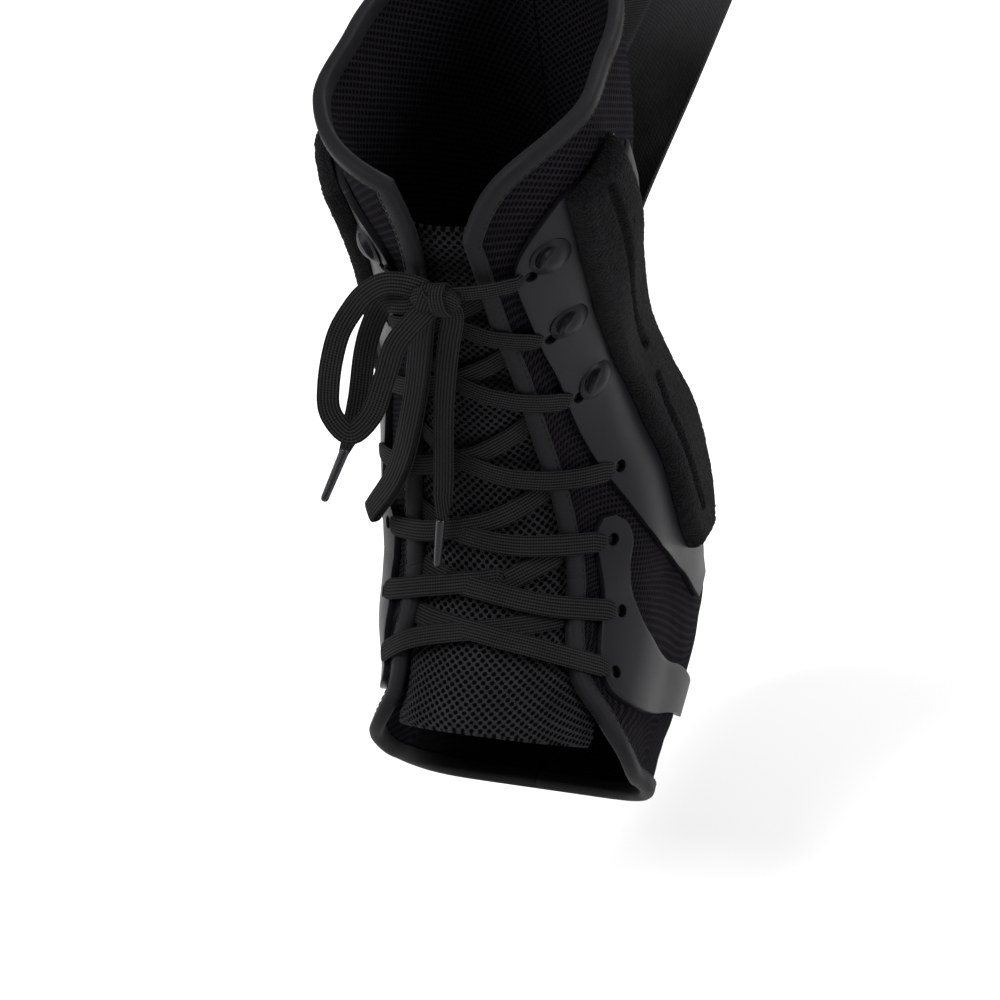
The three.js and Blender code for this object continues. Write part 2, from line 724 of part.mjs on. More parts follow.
// The two strands that rise from the highest holes to the knot
function topStrandSolid(side) {
  const hole = laceHoles[0];
  const startHeight = onPlateHeight - laceGap + layerGap;
  const start = sideAngle(side, hole.station, hole.angle - holeClearance);
  const end = knotPlace.angle + side * knotReach;
  const places = [0, 0.3, 0.65, 1].map((share) => {
    const station = THREE.MathUtils.lerp(hole.station, knotPlace.station, share);
    const angle = THREE.MathUtils.lerp(start, end, share);
    return {
      point: onLimb(station, angle, THREE.MathUtils.lerp(startHeight, knotTieHeight, share)),
      face: skinNormal(station, angle),
      width: share === 0 || share === 1 ? laceEndWidth : laceWidth,
    };
  });
  return laceSolid(places);
}

// The hanging ends of the bow. These points are chosen by hand, in the brace's own frame.
const loopRoute = [
  [-6.8, -89, 113.8], [-13, -89, 113.6], [-20, -88, 109], [-25, -88, 103], [-29, -90, 96], [-32, -94, 82],
  [-32, -95, 73], [-27, -95, 67], [-21, -93, 72], [-16, -91, 84], [-11, -92, 96], [-4.5, -92.6, 104.2],
];
const freeEndRoute = [
  [-8, -88.8, 108], [-14, -86, 106], [-19, -82, 101], [-23, -82, 93], [-25, -83, 86], [-27, -86, 73],
  [-29, -89, 64], [-31, -93, 58],
];
const agletOneRoute = [[-31.2, -93.4, 57.4], [-35, -101, 47]];
const bowFace = new THREE.Vector3(0.25, -0.85, 0.45);

// The second loop and end hang down the front, given by station, angle and height on the limb
const frontColumns = ['station', 'angle', 'height'];
const foldedLoopDown = table(frontColumns, [
  [1.18, -4, 12.6], [1.85, -10, 12.2], [2.65, -16, 12.2], [3.40, -22, 12.2], [4.15, -29, 12.6],
  [5.00, -40, 13.2],
]);
const foldedLoopRise = 2.6;
const frontEndRoute = table(frontColumns, [
  [1.2, 5, 12.8], [1.65, 1, 12.4], [2.40, -4, 12], [3.20, -7, 11.5], [4.10, -9, 11.5], [4.65, -10, 11.5],
]);
const agletTwoRoute = table(frontColumns, [[4.70, -10, 11.5], [5.85, -11, 11.5]]);

function freeLaceSolid(route, steps) {
  const curve = new THREE.CatmullRomCurve3(route.map((point) => new THREE.Vector3(...point)));
  return laceSolid(curve.getSpacedPoints(steps).map((point) => ({
    point,
    face: bowFace,
    width: laceWidth,
  })));
}

function frontPlaces(rows, steps, rise) {
  const places = [];
  for (let step = 0; step <= steps; step += 1) {
    const { station, angle, height } = readTable(rows, (step / steps) * (rows.length - 1));
    places.push({
      point: onLimb(station, angle, height + rise),
      face: skinNormal(station, angle),
      width: laceWidth,
    });
  }
  return places;
}

// The folded loop goes down, turns over at the bottom and comes back up on itself
function foldedLoopSolid() {
  const steps = 10;
  const down = frontPlaces(foldedLoopDown, steps, 0);
  const up = frontPlaces(foldedLoopDown, steps, foldedLoopRise).reverse();
  const low = down[steps];
  const along = low.point.clone().sub(down[steps - 1].point).normalize();
  const turn = {
    point: low.point.clone().lerp(up[0].point, 0.5).addScaledVector(along, foldedLoopRise / 2),
    face: along.clone().negate(),
    width: laceWidth,
  };
  up.forEach((place) => place.face.negate());
  return laceSolid([...down, turn, ...up]);
}

function agletSolid(start, end) {
  const along = end.clone().sub(start);
  const aglet = new THREE.CylinderGeometry(agletRadius * 0.8, agletRadius, along.length(), 8);
  const turn = new THREE.Quaternion().setFromUnitVectors(
    new THREE.Vector3(0, 1, 0),
    along.clone().normalize(),
  );
  return aglet.applyQuaternion(turn).translate(...start.clone().lerp(end, 0.5).toArray());
}

function crossingSolid(hole) {
  const outer = toSolid(strandSolid(1, hole, hole.innerTuck));
  const inner = toSolid(strandSolid(-1, hole, hole.outerTuck));
  return toGeometry(outer.add(inner));
}

for (const [name, side] of [['outer', 1], ['inner', -1]]) {
  addPiece(`binding_${name}`, bindingSolid(side), bindingBlack);
  const upper = stripSolid(side, upperPlate, 18, 5, plateInside, plateOutside);
  addPiece(`upper_plate_${name}`, cutAway(upper, holeCutters(side, upperPlateHoles)), plasticBlack);
  const lower = stripSolid(side, lowerPlate, 18, 4, plateInside, plateOutside);
  addPiece(`lower_plate_${name}`, cutAway(lower, holeCutters(side, lowerPlateHoles)), plasticBlack);
  hooks.forEach((hook, index) => {
    addPiece(`hook_${name}_${index + 1}`, hookSolid(side, hook), plasticBlack);
  });
  const cover = stripSolid(side, stayCover, 14, 5, coverInside, coverOutside);
  const slots = coverSlots.map((slot) => slotCutter(side, slot));
  addPiece(`stay_cover_${name}`, cutAway(cover, slots), pileBlack);
  const tapeOutside = (angle) => coverInside(angle) + coverTapeThick;
  addPiece(`cover_tape_${name}`, stripSolid(side, coverTape, 12, 1, coverInside, tapeOutside), bindingBlack);
  addPiece(`strap_${name}`, strapSolid(side, strapEnds[name]), webbingBlack);
  addPiece(`lace_top_${name}`, topStrandSolid(side), laceBlack);
}

laceHoles.slice(1).forEach((hole, index) => {
  addPiece(`lace_crossing_${index + 1}`, crossingSolid(hole), laceBlack);
});
addPiece('lace_knot', knotSolid(), laceBlack);
addPiece('lace_loop', freeLaceSolid(loopRoute, 18), laceBlack);
addPiece('lace_loop_folded', foldedLoopSolid(), laceBlack);
addPiece('lace_end_side', freeLaceSolid(freeEndRoute, 12), laceBlack);
addPiece('lace_end_front', laceSolid(frontPlaces(frontEndRoute, 12, 0)), laceBlack);
const agletSide = agletOneRoute.map((point) => new THREE.Vector3(...point));
addPiece('aglet_side', agletSolid(...agletSide), plasticBlack);
const agletFront = agletTwoRoute.map((row) => onLimb(row.station, row.angle, row.height));
addPiece('aglet_front', agletSolid(...agletFront), plasticBlack);

export default brace;
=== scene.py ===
import math
from collections import namedtuple

import bmesh
import bpy
import numpy as np
from mathutils import Matrix, Vector


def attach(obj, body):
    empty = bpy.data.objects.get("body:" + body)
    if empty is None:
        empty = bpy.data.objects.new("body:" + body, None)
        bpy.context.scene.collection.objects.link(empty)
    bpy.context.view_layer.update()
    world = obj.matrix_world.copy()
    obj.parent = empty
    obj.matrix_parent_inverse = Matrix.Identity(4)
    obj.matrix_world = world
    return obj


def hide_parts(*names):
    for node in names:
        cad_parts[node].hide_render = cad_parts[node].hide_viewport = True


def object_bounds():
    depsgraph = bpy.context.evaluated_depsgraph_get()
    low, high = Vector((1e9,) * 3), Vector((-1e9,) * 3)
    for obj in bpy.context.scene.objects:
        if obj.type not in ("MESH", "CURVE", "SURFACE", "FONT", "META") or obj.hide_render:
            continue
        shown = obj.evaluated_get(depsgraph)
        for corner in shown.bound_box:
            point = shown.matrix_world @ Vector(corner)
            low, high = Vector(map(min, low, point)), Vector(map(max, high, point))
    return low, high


bl_info = {
    "name": "Lace-up ankle brace",
    "version": (1, 0, 0),
    "blender": (4, 5, 0),
    "location": "3D View > Sidebar > Ankle brace",
    "description": "Dresses the ankle brace in mesh cloth, tape, moulded plates, pile and laces",
    "category": "Object",
}

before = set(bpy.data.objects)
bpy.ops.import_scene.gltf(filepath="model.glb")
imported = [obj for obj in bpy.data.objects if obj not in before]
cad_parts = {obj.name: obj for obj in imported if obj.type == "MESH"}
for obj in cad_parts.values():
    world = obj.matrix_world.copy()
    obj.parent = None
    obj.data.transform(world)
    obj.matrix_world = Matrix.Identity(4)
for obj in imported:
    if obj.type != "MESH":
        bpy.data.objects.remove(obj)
cad_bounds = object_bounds()

MM = 0.001
BODY = "root"
UV_NAME = "millimetres"

# The limb that the brace is laced round, in millimetres from the ankle joint
LEG_RISE = 180
SOLE_DROP = 83
TOE_REACH = 127
HEEL_REACH = 61
ANKLE_HALF_WIDTH = 40

# Walls, sheets and tapes, with the thickness that the padded ones keep at their edges
SHELL_WALL = 2.5
TONGUE_THICK = 3.5
TONGUE_EDGE = 1.8
PLATE_THICK = 1.5
PLATE_ROUNDING = 0.35
PAD_THICK = 5.5
PAD_EDGE = 0.5
TAPE_WIDTH = 4.3
COVER_TAPE_THICK = 1.2
WEBBING_THICK = 1.4
WEBBING_WIDTH = 38
LACE_WIDTH = 6.5
LACE_THICK = 1.2
TUCKED_LACE_THICK = 0.95
EYELET_RADIUS = 2
CUTTER_DEPTH = 8
HOOK_RADIUS = 6.4
HOOK_HEIGHT = 2.8
HOOK_SINK = 0.1
WELD = 0.001

# Clearances between pieces that lie on one another
LAYER_GAP = 0.7
SEAT_GAP = 0.15

# Steps of each sheet's grid down and across, of a hook's round and out, and along each lace
BOOT_STEPS = (200, 230)
TONGUE_STEPS = (344, 140)
COVER_STEPS = (330, 56)
COVER_TAPE_STEPS = (140, 10)
STRAP_STEPS = (190, 76)
HOOK_STEPS = (96, 44)
STRAND_POINTS = 90
TOP_STRAND_POINTS = 50

SIDES = (("outer", 1), ("inner", -1))


def smoothstep(value, low, high):
    share = np.clip((value - low) / (high - low), 0, 1)
    return share * share * (3 - 2 * share)


def lerp(start, end, share):
    return start + (end - start) * share


class Table:
    """Rows with named columns, read on a smooth curve between the rows."""

    def __init__(self, columns, rows, key=None):
        self.columns = dict(zip(columns, np.array(rows, float).T))
        self.at = self.columns[key] if key else np.arange(len(rows), dtype=float)

    def read(self, place):
        place = np.asarray(place, float)
        last = len(self.at) - 1
        low = np.clip(np.searchsorted(self.at, place, side="left") - 1, 0, last - 1)
        high = low + 1
        before = np.maximum(low - 1, 0)
        after = np.minimum(high + 1, last)
        at = self.at
        span = at[high] - at[low]
        share = (place - at[low]) / span
        inside = np.clip(share, 0, 1)
        square = inside**2
        cube = inside**3
        past = share - inside
        found = {}
        for name, column in self.columns.items():
            start, end = column[low], column[high]
            start_slope = (end - column[before]) / (at[high] - at[before]) * span
            end_slope = (column[after] - start) / (at[after] - at[low]) * span
            curve = start * (2 * cube - 3 * square + 1) + end * (3 * square - 2 * cube)
            curve += start_slope * (cube - 2 * square + inside) + end_slope * (cube - square)
            found[name] = curve + past * np.where(past < 0, start_slope, end_slope)
        return found


# Sections of the limb from the leg opening down over the heel to the toe edge. Along and up are
# shares of the reaches and rises, and outer, inner and ridge are shares of the half width.
LIMB = Table(
    ("front_along", "front_up", "back_along", "back_up", "outer", "inner",
     "front_round", "back_round", "widest", "ridge"),
    [
        (-0.72, 0.86, 0.11, 1.00, 0.95, 0.85, 2.2, 2.0, 0.50, 0),
        (-0.60, 0.645, 0.16, 0.767, 0.925, 0.70, 2.2, 1.9, 0.50, 0),
        (-0.51, 0.467, 0.21, 0.567, 0.75, 0.70, 2.2, 1.8, 0.52, -0.05),
        (-0.457, 0.311, 0.31, 0.411, 0.675, 0.825, 2.2, 1.8, 0.54, -0.10),
        (-0.433, 0.178, 0.49, 0.278, 0.725, 0.925, 2.2, 1.8, 0.55, -0.125),
        (-0.449, 0.072, 0.74, 0.111, 0.825, 1.00, 2.2, 1.9, 0.55, -0.125),
        (-0.488, 0.006, 0.93, -0.145, 0.85, 1.025, 2.3, 2.0, 0.55, -0.10),
        (-0.543, -0.084, 1.00, -0.53, 0.825, 1.025, 2.3, 2.2, 0.52, -0.10),
        (-0.614, -0.157, 0.82, -0.867, 0.84, 1.00, 2.3, 2.4, 0.50, -0.075),
        (-0.70, -0.241, 0.295, -1, 0.875, 0.85, 2.3, 2.6, 0.48, -0.05),
        (-0.795, -0.325, -0.142, -1, 0.95, 0.79, 2.3, 2.6, 0.46, -0.025),
        (-0.90, -0.41, -0.394, -0.99, 1.05, 0.84, 2.3, 2.6, 0.44, 0),
        (-1, -0.506, -0.63, -0.976, 1.125, 0.93, 2.3, 2.6, 0.42, 0),
    ],
)


def from_shares(along, up):
    forward = along * np.where(along < 0, TOE_REACH, HEEL_REACH)
    upward = up * np.where(up < 0, SOLE_DROP, LEG_RISE)
    return np.stack([np.zeros_like(forward), forward, upward], -1)


def signed_power(value, power):
    return np.sign(value) * np.abs(value) ** power


def on_skin(station, angle):
    """Points on the limb. The angle is 0 in front, positive round the outer side, 180 at the back."""
    station, angle = np.broadcast_arrays(np.asarray(station, float), np.asarray(angle, float))
    section = LIMB.read(station)
    front = from_shares(section["front_along"], section["front_up"])
    back = from_shares(section["back_along"], section["back_up"])
    middle = lerp(back, front, section["widest"][..., None])
    turn = np.radians(angle)
    forward, sideways = np.cos(turn), np.sin(turn)
    power = 2 / np.where(forward > 0, section["front_round"], section["back_round"])
    reach = signed_power(forward, power)[..., None]
    arm = np.where((forward > 0)[..., None], front - middle, middle - back)
    half_width = np.where(sideways > 0, section["outer"], section["inner"]) * ANKLE_HALF_WIDTH
    ridge = section["ridge"] * ANKLE_HALF_WIDTH * np.maximum(forward, 0) ** 1.5
    point = middle + arm * reach
    point[..., 0] += signed_power(sideways, power) * half_width + ridge
    return point


def unit(vectors):
    length = np.linalg.norm(vectors, axis=-1, keepdims=True)
    return vectors / np.maximum(length, 1e-9)


STATION_STEP = 0.02
ANGLE_STEP = 1.0


def skin_normal(station, angle):
    down = on_skin(station + STATION_STEP, angle) - on_skin(station - STATION_STEP, angle)
    around = on_skin(station, angle + ANGLE_STEP) - on_skin(station, angle - ANGLE_STEP)
    return unit(np.cross(down, around))


def on_limb(station, angle, height):
    station = np.asarray(station, float)
    angle = np.asarray(angle, float)
    height = np.asarray(height, float)
    return on_skin(station, angle) + skin_normal(station, angle) * height[..., None]


# The front opening's two edges, in degrees either side of the middle of the front
OPENING = Table(
    ("station", "outer_edge", "inner_edge"),
    [
        (0, 12, 8),
        (0.65, 12, 6),
        (1.5, 15, 12),
        (2.8, 26, 23),
        (4.2, 32, 27),
        (5.5, 33, 25),
        (7.5, 35, 24),
        (8.5, 38, 29),
        (9.3, 46, 33),
    ],
    key="station",
)
OUTER_CORNERS = (0.65, 9.0)
INNER_CORNERS = (0.12, 9.5)
BACK_STATIONS = (0, 11)
CORNER_SHARPNESS = (13, 5)
FLAP_ANGLES = (62, 90)
FLAP_LIFT = TONGUE_THICK + LAYER_GAP


def side_angle(side, station, angle):
    """Where an angle laid out on the outer side lies on the given side."""
    if side > 0:
        return angle
    edges = OPENING.read(station)
    return -(angle + edges["inner_edge"] - edges["outer_edge"])


def shell_inside(angle):
    return FLAP_LIFT * (1 - smoothstep(np.abs(angle), *FLAP_ANGLES))


def shell_outside(angle):
    return shell_inside(angle) + SHELL_WALL


def plate_inside(angle):
    return shell_outside(angle) + SEAT_GAP


def plate_outside(angle):
    return shell_outside(angle) + LAYER_GAP + PLATE_THICK


def cover_inside(angle):
    return plate_outside(angle) + SEAT_GAP


def shell_point(down, across, height):
    """A point on the boot by its shares down from the top and across from flap to flap."""
    outer = across < 0.5
    edge_station = np.where(outer, lerp(*OUTER_CORNERS, down), lerp(*INNER_CORNERS, down))
    edges = OPENING.read(edge_station)
    edge_angle = np.where(outer, edges["outer_edge"], edges["inner_edge"])
    to_edge = np.abs(across - 0.5) * 2
    angle = lerp(180, edge_angle, to_edge)
    back_station = lerp(*BACK_STATIONS, down)
    station = lerp(back_station, edge_station, to_edge ** lerp(*CORNER_SHARPNESS, down))
    return on_limb(station, np.where(outer, angle, -angle), shell_inside(angle) + height)


# Each layer of swells has a size, a seed and a height. The seeds keep them the same on each run.
WAVES = 6
SHELL_SWELLS = ((26, 3, 0.45), (9, 4, 0.12))
TONGUE_SWELLS = ((22, 8, 0.25),)
PILE_LOOPS = ((2.1, 21, 0.22), (1.1, 22, 0.16))


def swell(points, layers):
    """Soft wrinkles and swells, summed from slow waves."""
    total = np.zeros(points.shape[:-1])
    for size, seed, height in layers:
        waves = np.random.default_rng(seed)
        for _ in range(WAVES):
            direction = unit(waves.normal(size=3))
            pitch = size * waves.uniform(0.7, 1.6)
            turn = points @ direction * 2 * math.pi / pitch + waves.uniform(0, 2 * math.pi)
            total += np.sin(turn) * height / WAVES
    return total


def link(name, data):
    item = bpy.data.objects.new(name, data)
    bpy.context.scene.collection.objects.link(item)
    return item


def add_piece(mesh, kind, replaced):
    """Makes a finished mesh a piece of the brace, in the finish of its kind."""
    mesh.materials.append(finish_of(kind))
    mesh.shade_smooth()
    piece = link(mesh.name, mesh)
    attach(piece, BODY)
    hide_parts(replaced)
    return piece


def read_all(items, key, width, kind=float):
    """One value of every item of a mesh, in rows of the given width."""
    flat = np.empty(len(items) * width, dtype=kind)
    items.foreach_get(key, flat)
    return flat.reshape(-1, width)


def read_points(mesh):
    return read_all(mesh.vertices, "co", 3)


def corner_verts(mesh):
    return read_all(mesh.loops, "vertex_index", 1, np.int32)[:, 0]


def write_points(mesh, points):
    mesh.vertices.foreach_set("co", (points * MM).ravel())
    mesh.update()


def write_uv(mesh, uv):
    """Keeps lengths along the cloth, in millimetres, as the piece's UV map."""
    layer = mesh.uv_layers.new(name=UV_NAME)
    layer.data.foreach_set("uv", uv[corner_verts(mesh)].astype(np.float32).ravel())


def face_outward(mesh):
    mesh.calc_loop_triangles()
    corners = read_all(mesh.loop_triangles, "vertices", 3, np.int32)
    a, b, c = read_points(mesh)[corners.T]
    if np.einsum("ij,ij->i", a, np.cross(b, c)).sum() < 0:
        mesh.flip_normals()


def lengths_along(points, axis, origin_share):
    """Running length of a grid of points along one axis, counted from a share of it."""
    steps = np.linalg.norm(np.diff(points, axis=axis), axis=-1)
    first = np.zeros_like(np.take(steps, [0], axis=axis))
    running = np.concatenate([first, np.cumsum(steps, axis=axis)], axis=axis)
    origin = int(round(origin_share * (points.shape[axis] - 1)))
    return running - np.take(running, [origin], axis=axis)


def built(build, name):
    """The mesh of a finished bmesh."""
    mesh = bpy.data.meshes.new(name)
    build.to_mesh(mesh)
    build.free()
    return mesh


def rim_of(build):
    return [edge for edge in build.edges if edge.is_boundary]


def close_up(build, reach):
    """Welds points within reach of each other and fills the open ends."""
    bmesh.ops.remove_doubles(build, verts=build.verts, dist=reach)
    bmesh.ops.holes_fill(build, edges=rim_of(build), sides=0)


def add_grid(build, across_steps, down_steps, height=0, turned=False):
    """A flat grid that spans the shares from 0 to 1, across and down."""
    place = Matrix.Translation((0.5, 0.5, height))
    made = bmesh.ops.create_grid(
        build, x_segments=across_steps, y_segments=down_steps, size=0.5, matrix=place)
    if turned:
        faces = {face for vert in made["verts"] for face in vert.link_faces}
        bmesh.ops.reverse_faces(build, faces=list(faces))


def grid_places(mesh, across_steps, down_steps):
    """A grid's points as shares across and down and a height, with their rows and columns."""
    across, down, height = read_points(mesh).T
    rows = np.round(down * down_steps).astype(int)
    columns = np.round(across * across_steps).astype(int)
    return across, down, height, rows, columns


def sheet_mesh(name, steps, inside_at, outside_at, origins=(0.5,)):
    """A closed sheet between two surfaces, each read at shares down and across.

    Its widths are counted from the nearest of the origins across.
    """
    down_steps, across_steps = steps
    build = bmesh.new()
    add_grid(build, across_steps, down_steps, 1)
    add_grid(build, across_steps, down_steps, turned=True)
    bmesh.ops.bridge_loops(build, edges=rim_of(build))
    mesh = built(build, name)
    across, down, side, rows, columns = grid_places(mesh, across_steps, down_steps)
    across, down = np.clip(across, 0, 1), np.clip(down, 0, 1)
    top = side > 0.5
    outside = outside_at(down, across)
    grid = np.zeros((down_steps + 1, across_steps + 1, 3))
    grid[rows[top], columns[top]] = outside[top]
    widths = [lengths_along(grid, 1, origin)[rows, columns] for origin in origins]
    nearest = np.argmin([np.abs(across - origin) for origin in origins], axis=0)
    length = lengths_along(grid, 0, 0)[rows, columns]
    write_points(mesh, np.where(top[:, None], outside, inside_at(down, across)))
    write_uv(mesh, np.stack([np.choose(nearest, widths), length], -1))
    face_outward(mesh)
    return mesh


def swept_mesh(name, rings):
    """A closed solid through rings of points, given as an array of rings by points by 3."""
    down_steps, around_steps = rings.shape[0] - 1, rings.shape[1]
    build = bmesh.new()
    add_grid(build, around_steps, down_steps)
    mesh = built(build, name)
    _, _, _, rows, columns = grid_places(mesh, around_steps, down_steps)
    closed = np.concatenate([rings, rings[:, :1]], axis=1)
    width = lengths_along(closed, 1, 0)[rows, columns]
    length = lengths_along(closed.mean(axis=1, keepdims=True), 0, 0)[rows, 0]
    write_points(mesh, closed[rows, columns])
    write_uv(mesh, np.stack([width, length], -1))
    build = bmesh.new()
    build.from_mesh(mesh)
    close_up(build, WELD * MM)
    build.to_mesh(mesh)
    build.free()
    face_outward(mesh)
    return mesh


def join_meshes(name, meshes):
    """One mesh out of several, with their UV maps kept."""
    build = bmesh.new()
    for mesh in meshes:
        build.from_mesh(mesh)
        bpy.data.meshes.remove(mesh)
    return built(build, name)


class Wire:
    """A socket in a material. Python's operators on it add Math nodes."""

    def __init__(self, tree, socket):
        self.tree = tree
        self.socket = socket

    def node(self, kind, settings, values, output=0):
        made = self.tree.nodes.new(kind)
        for key, value in settings.items():
            setattr(made, key, value)
        for key, value in values.items():
            if isinstance(value, Wire):
                self.tree.links.new(value.socket, made.inputs[key])
            else:
                made.inputs[key].default_value = value
        return Wire(self.tree, made.outputs[output])

    def math(self, operation, *values):
        return self.node("ShaderNodeMath", {"operation": operation}, dict(enumerate(values)))

    def vector(self, operation, *values, output=0):
        settings = {"operation": operation}
        return self.node("ShaderNodeVectorMath", settings, dict(enumerate(values)), output)

    def __add__(self, other):
        return self.math("ADD", self, other)

    def __sub__(self, other):
        return self.math("SUBTRACT", self, other)

    def __rsub__(self, other):
        return self.math("SUBTRACT", other, self)

    def __mul__(self, other):
        return self.math("MULTIPLY", self, other)

    __radd__ = __add__
    __rmul__ = __mul__

    def wave(self, pitch):
        """A wave between 0 and 1 that repeats at the pitch."""
        return self.math("SINE", self * (2 * math.pi / pitch)) * 0.5 + 0.5

    def steps(self, low, high, start=0.0, end=1.0):
        """0 below low and 1 above high, with a smooth ramp between, or from start to end."""
        settings = {"interpolation_type": "SMOOTHSTEP"}
        values = {"Value": self, "From Min": low, "From Max": high, "To Min": start, "To Max": end}
        return self.node("ShaderNodeMapRange", settings, values)

    def noise(self, size, detail=2.0, roughness=0.5):
        """Cloudy noise on this vector, with features of about the given size."""
        values = {"Vector": self, "Scale": 1 / size, "Detail": detail, "Roughness": roughness}
        return self.node("ShaderNodeTexNoise", {}, values)


class Finish:
    """A material under way: its tree, its Principled shader and the coordinates it reads."""

    def __init__(self, name, **constants):
        self.material = bpy.data.materials.new(name)
        self.material.use_nodes = True
        self.tree = self.material.node_tree
        self.shader = next(n for n in self.tree.nodes if n.type == "BSDF_PRINCIPLED")
        for key, value in constants.items():
            self.shader.inputs[key.replace("_", " ")].default_value = value
        start = Wire(self.tree, None)
        cloth = start.node("ShaderNodeUVMap", {"uv_map": UV_NAME}, {})
        place = start.node("ShaderNodeTexCoord", {}, {}, output=3)
        self.place = place.vector("SCALE", place)
        self.place.socket.node.inputs["Scale"].default_value = 1 / MM
        self.cloth = cloth
        split = cloth.node("ShaderNodeSeparateXYZ", {}, {0: cloth})
        self.width = split
        self.length = Wire(self.tree, split.socket.node.outputs[1])

    def finish(self, rgb, lighter, share, roughness, height=None, depth=0):
        """Colours it from rgb to a lighter form of it, as the share goes from 0 to 1."""
        light = tuple(min(channel * lighter, 1.0) for channel in rgb)
        mixed = {0: share, 6: (*rgb, 1), 7: (*light, 1)}
        colour = share.node("ShaderNodeMix", {"data_type": "RGBA"}, mixed, output=2)
        values = [("Base Color", colour), ("Roughness", roughness)]
        if height is not None:
            bump = height.node("ShaderNodeBump", {}, {"Height": height, "Distance": depth * MM})
            values.append(("Normal", bump))
        for key, value in values:
            self.tree.links.new(value.socket, self.shader.inputs[key])
        return self.material


def hole_distance(cloth, across, down):
    """Distance in millimetres to the nearest hole of a staggered mesh."""
    cell = (across, down, 1)
    near = []
    for shift in (0.0, 0.5):
        placed = cloth.vector("ADD", cloth.vector("DIVIDE", cloth, cell), (shift, shift, 0))
        centred = cloth.vector("SUBTRACT", cloth.vector("FRACTION", placed), (0.5, 0.5, 0))
        flat = cloth.vector("MULTIPLY", centred, (across, down, 0))
        near.append(cloth.vector("LENGTH", flat, output=1))
    return near[0].math("MINIMUM", *near)


def mesh_cloth(name, colour, across, down, hole, lighter, depth):
    """Knitted mesh with a staggered net of holes and fine yarn between them, and painted shade in the
    holes.
    """
    cloth = Finish(name, Sheen_Weight=0.002, Sheen_Roughness=0.5, Specular_IOR_Level=0.01)
    distance = hole_distance(cloth.cloth, across, down)
    yarn = cloth.place.noise(0.5, 3.0, 0.6)
    worn = cloth.place.noise(18.0)
    net = (distance + yarn * (0.35 * hole)).steps(0.75 * hole, 1.3 * hole)
    strands = cloth.width.wave(0.42) * cloth.length.wave(0.38)
    # Painted shade: the yarn's colour is kept only where the net is, so each hole is painted dark as the
    # shade inside it.
    light = (net * (yarn * 0.55 + strands * 0.35 + worn * 0.3)).steps(0.1, 0.9)
    rough = yarn.steps(0.2, 0.8, 0.7, 0.9)
    height = net * 0.75 + yarn * 0.18 + strands * 0.12
    return cloth.finish(colour, lighter, light, rough, height, depth)


def tape_cloth(name, colour):
    """Bias tape: smooth, with very fine ribs across it and a soft sheen."""
    tape = Finish(name, Sheen_Weight=0.015, Sheen_Roughness=0.4, Specular_IOR_Level=0.06)
    ribs = tape.length.wave(0.55)
    fuzz = tape.place.noise(0.35, 3.0)
    worn = tape.place.noise(9.0, 3.0)
    light = (ribs * 0.3 + fuzz * 0.4 + worn * 0.5).steps(0.2, 1.0)
    height = ribs * 0.6 + fuzz * 0.5
    rough = worn.steps(0.3, 0.7, 0.5, 0.66)
    return tape.finish(colour, 1.9, light, rough, height, 0.06)


def moulded_plastic(name, colour):
    """Satin moulded plastic with a fine eggshell grain, faint scuffs and paler worn patches."""
    plastic = Finish(name, Specular_IOR_Level=0.075)
    grain = plastic.place.noise(0.28, 2.0)
    scuffs = plastic.place.vector("MULTIPLY", plastic.place, (0.35, 1.6, 0.5)).noise(1.6, 4.0, 0.7)
    worn = plastic.place.noise(14.0, 3.0)
    marks = scuffs.steps(0.58, 0.74)
    light = (worn * 0.7 + marks * 0.35).steps(0.15, 1.0)
    rough = (worn * 0.6 + grain * 0.3 + marks * 0.25).steps(0.2, 1.0, 0.34, 0.52)
    return plastic.finish(colour, 1.5, light, rough, grain + marks * 0.3, 0.035)


def pile_cloth(name, colour):
    """Looped pile: soft clumps of fine loops, with painted light on the raised loops and clumps and painted
    shade between them.
    """
    pile = Finish(name, Sheen_Weight=0.02, Sheen_Roughness=0.6, Specular_IOR_Level=0.03)
    values = {"Vector": pile.place, "Scale": 1.35, "Randomness": 1.0}
    loops = pile.place.node("ShaderNodeTexVoronoi", {}, values)
    clumps = pile.place.noise(2.6, 3.0, 0.6)
    fine = pile.place.noise(0.3, 3.0, 0.7)
    crown = 1 - loops
    # Painted light and shade: the colour follows the bump's height, lighter on the loops' crowns and the
    # clumps and darker between them.
    light = (crown * 0.45 + fine * 0.5 + clumps * 0.5).steps(0.55, 1.15)
    rough = fine.steps(0.2, 0.8, 0.85, 1.0)
    height = crown * 0.5 + fine * 0.35 + clumps * 0.5
    return pile.finish(colour, 7.0, light, rough, height, 1.1)


def ribbed_webbing(name, colour):
    """Woven webbing with ribs across it and rows of warp along it."""
    web = Finish(name, Sheen_Weight=0.02, Sheen_Roughness=0.35, Specular_IOR_Level=0.18)
    fuzz = web.place.noise(0.4, 3.0)
    ribs = (web.length + fuzz * 0.12).wave(1.15)
    warp = web.width.wave(1.9)
    worn = web.place.noise(16.0, 3.0)
    light = (ribs * 0.45 + warp * 0.12 + worn * 0.35 + fuzz * 0.2).steps(0.2, 1.0)
    height = ribs * 0.7 + warp * 0.2 + fuzz * 0.25
    rough = worn.steps(0.3, 0.7, 0.5, 0.68)
    return web.finish(colour, 2.0, light, rough, height, 0.22)


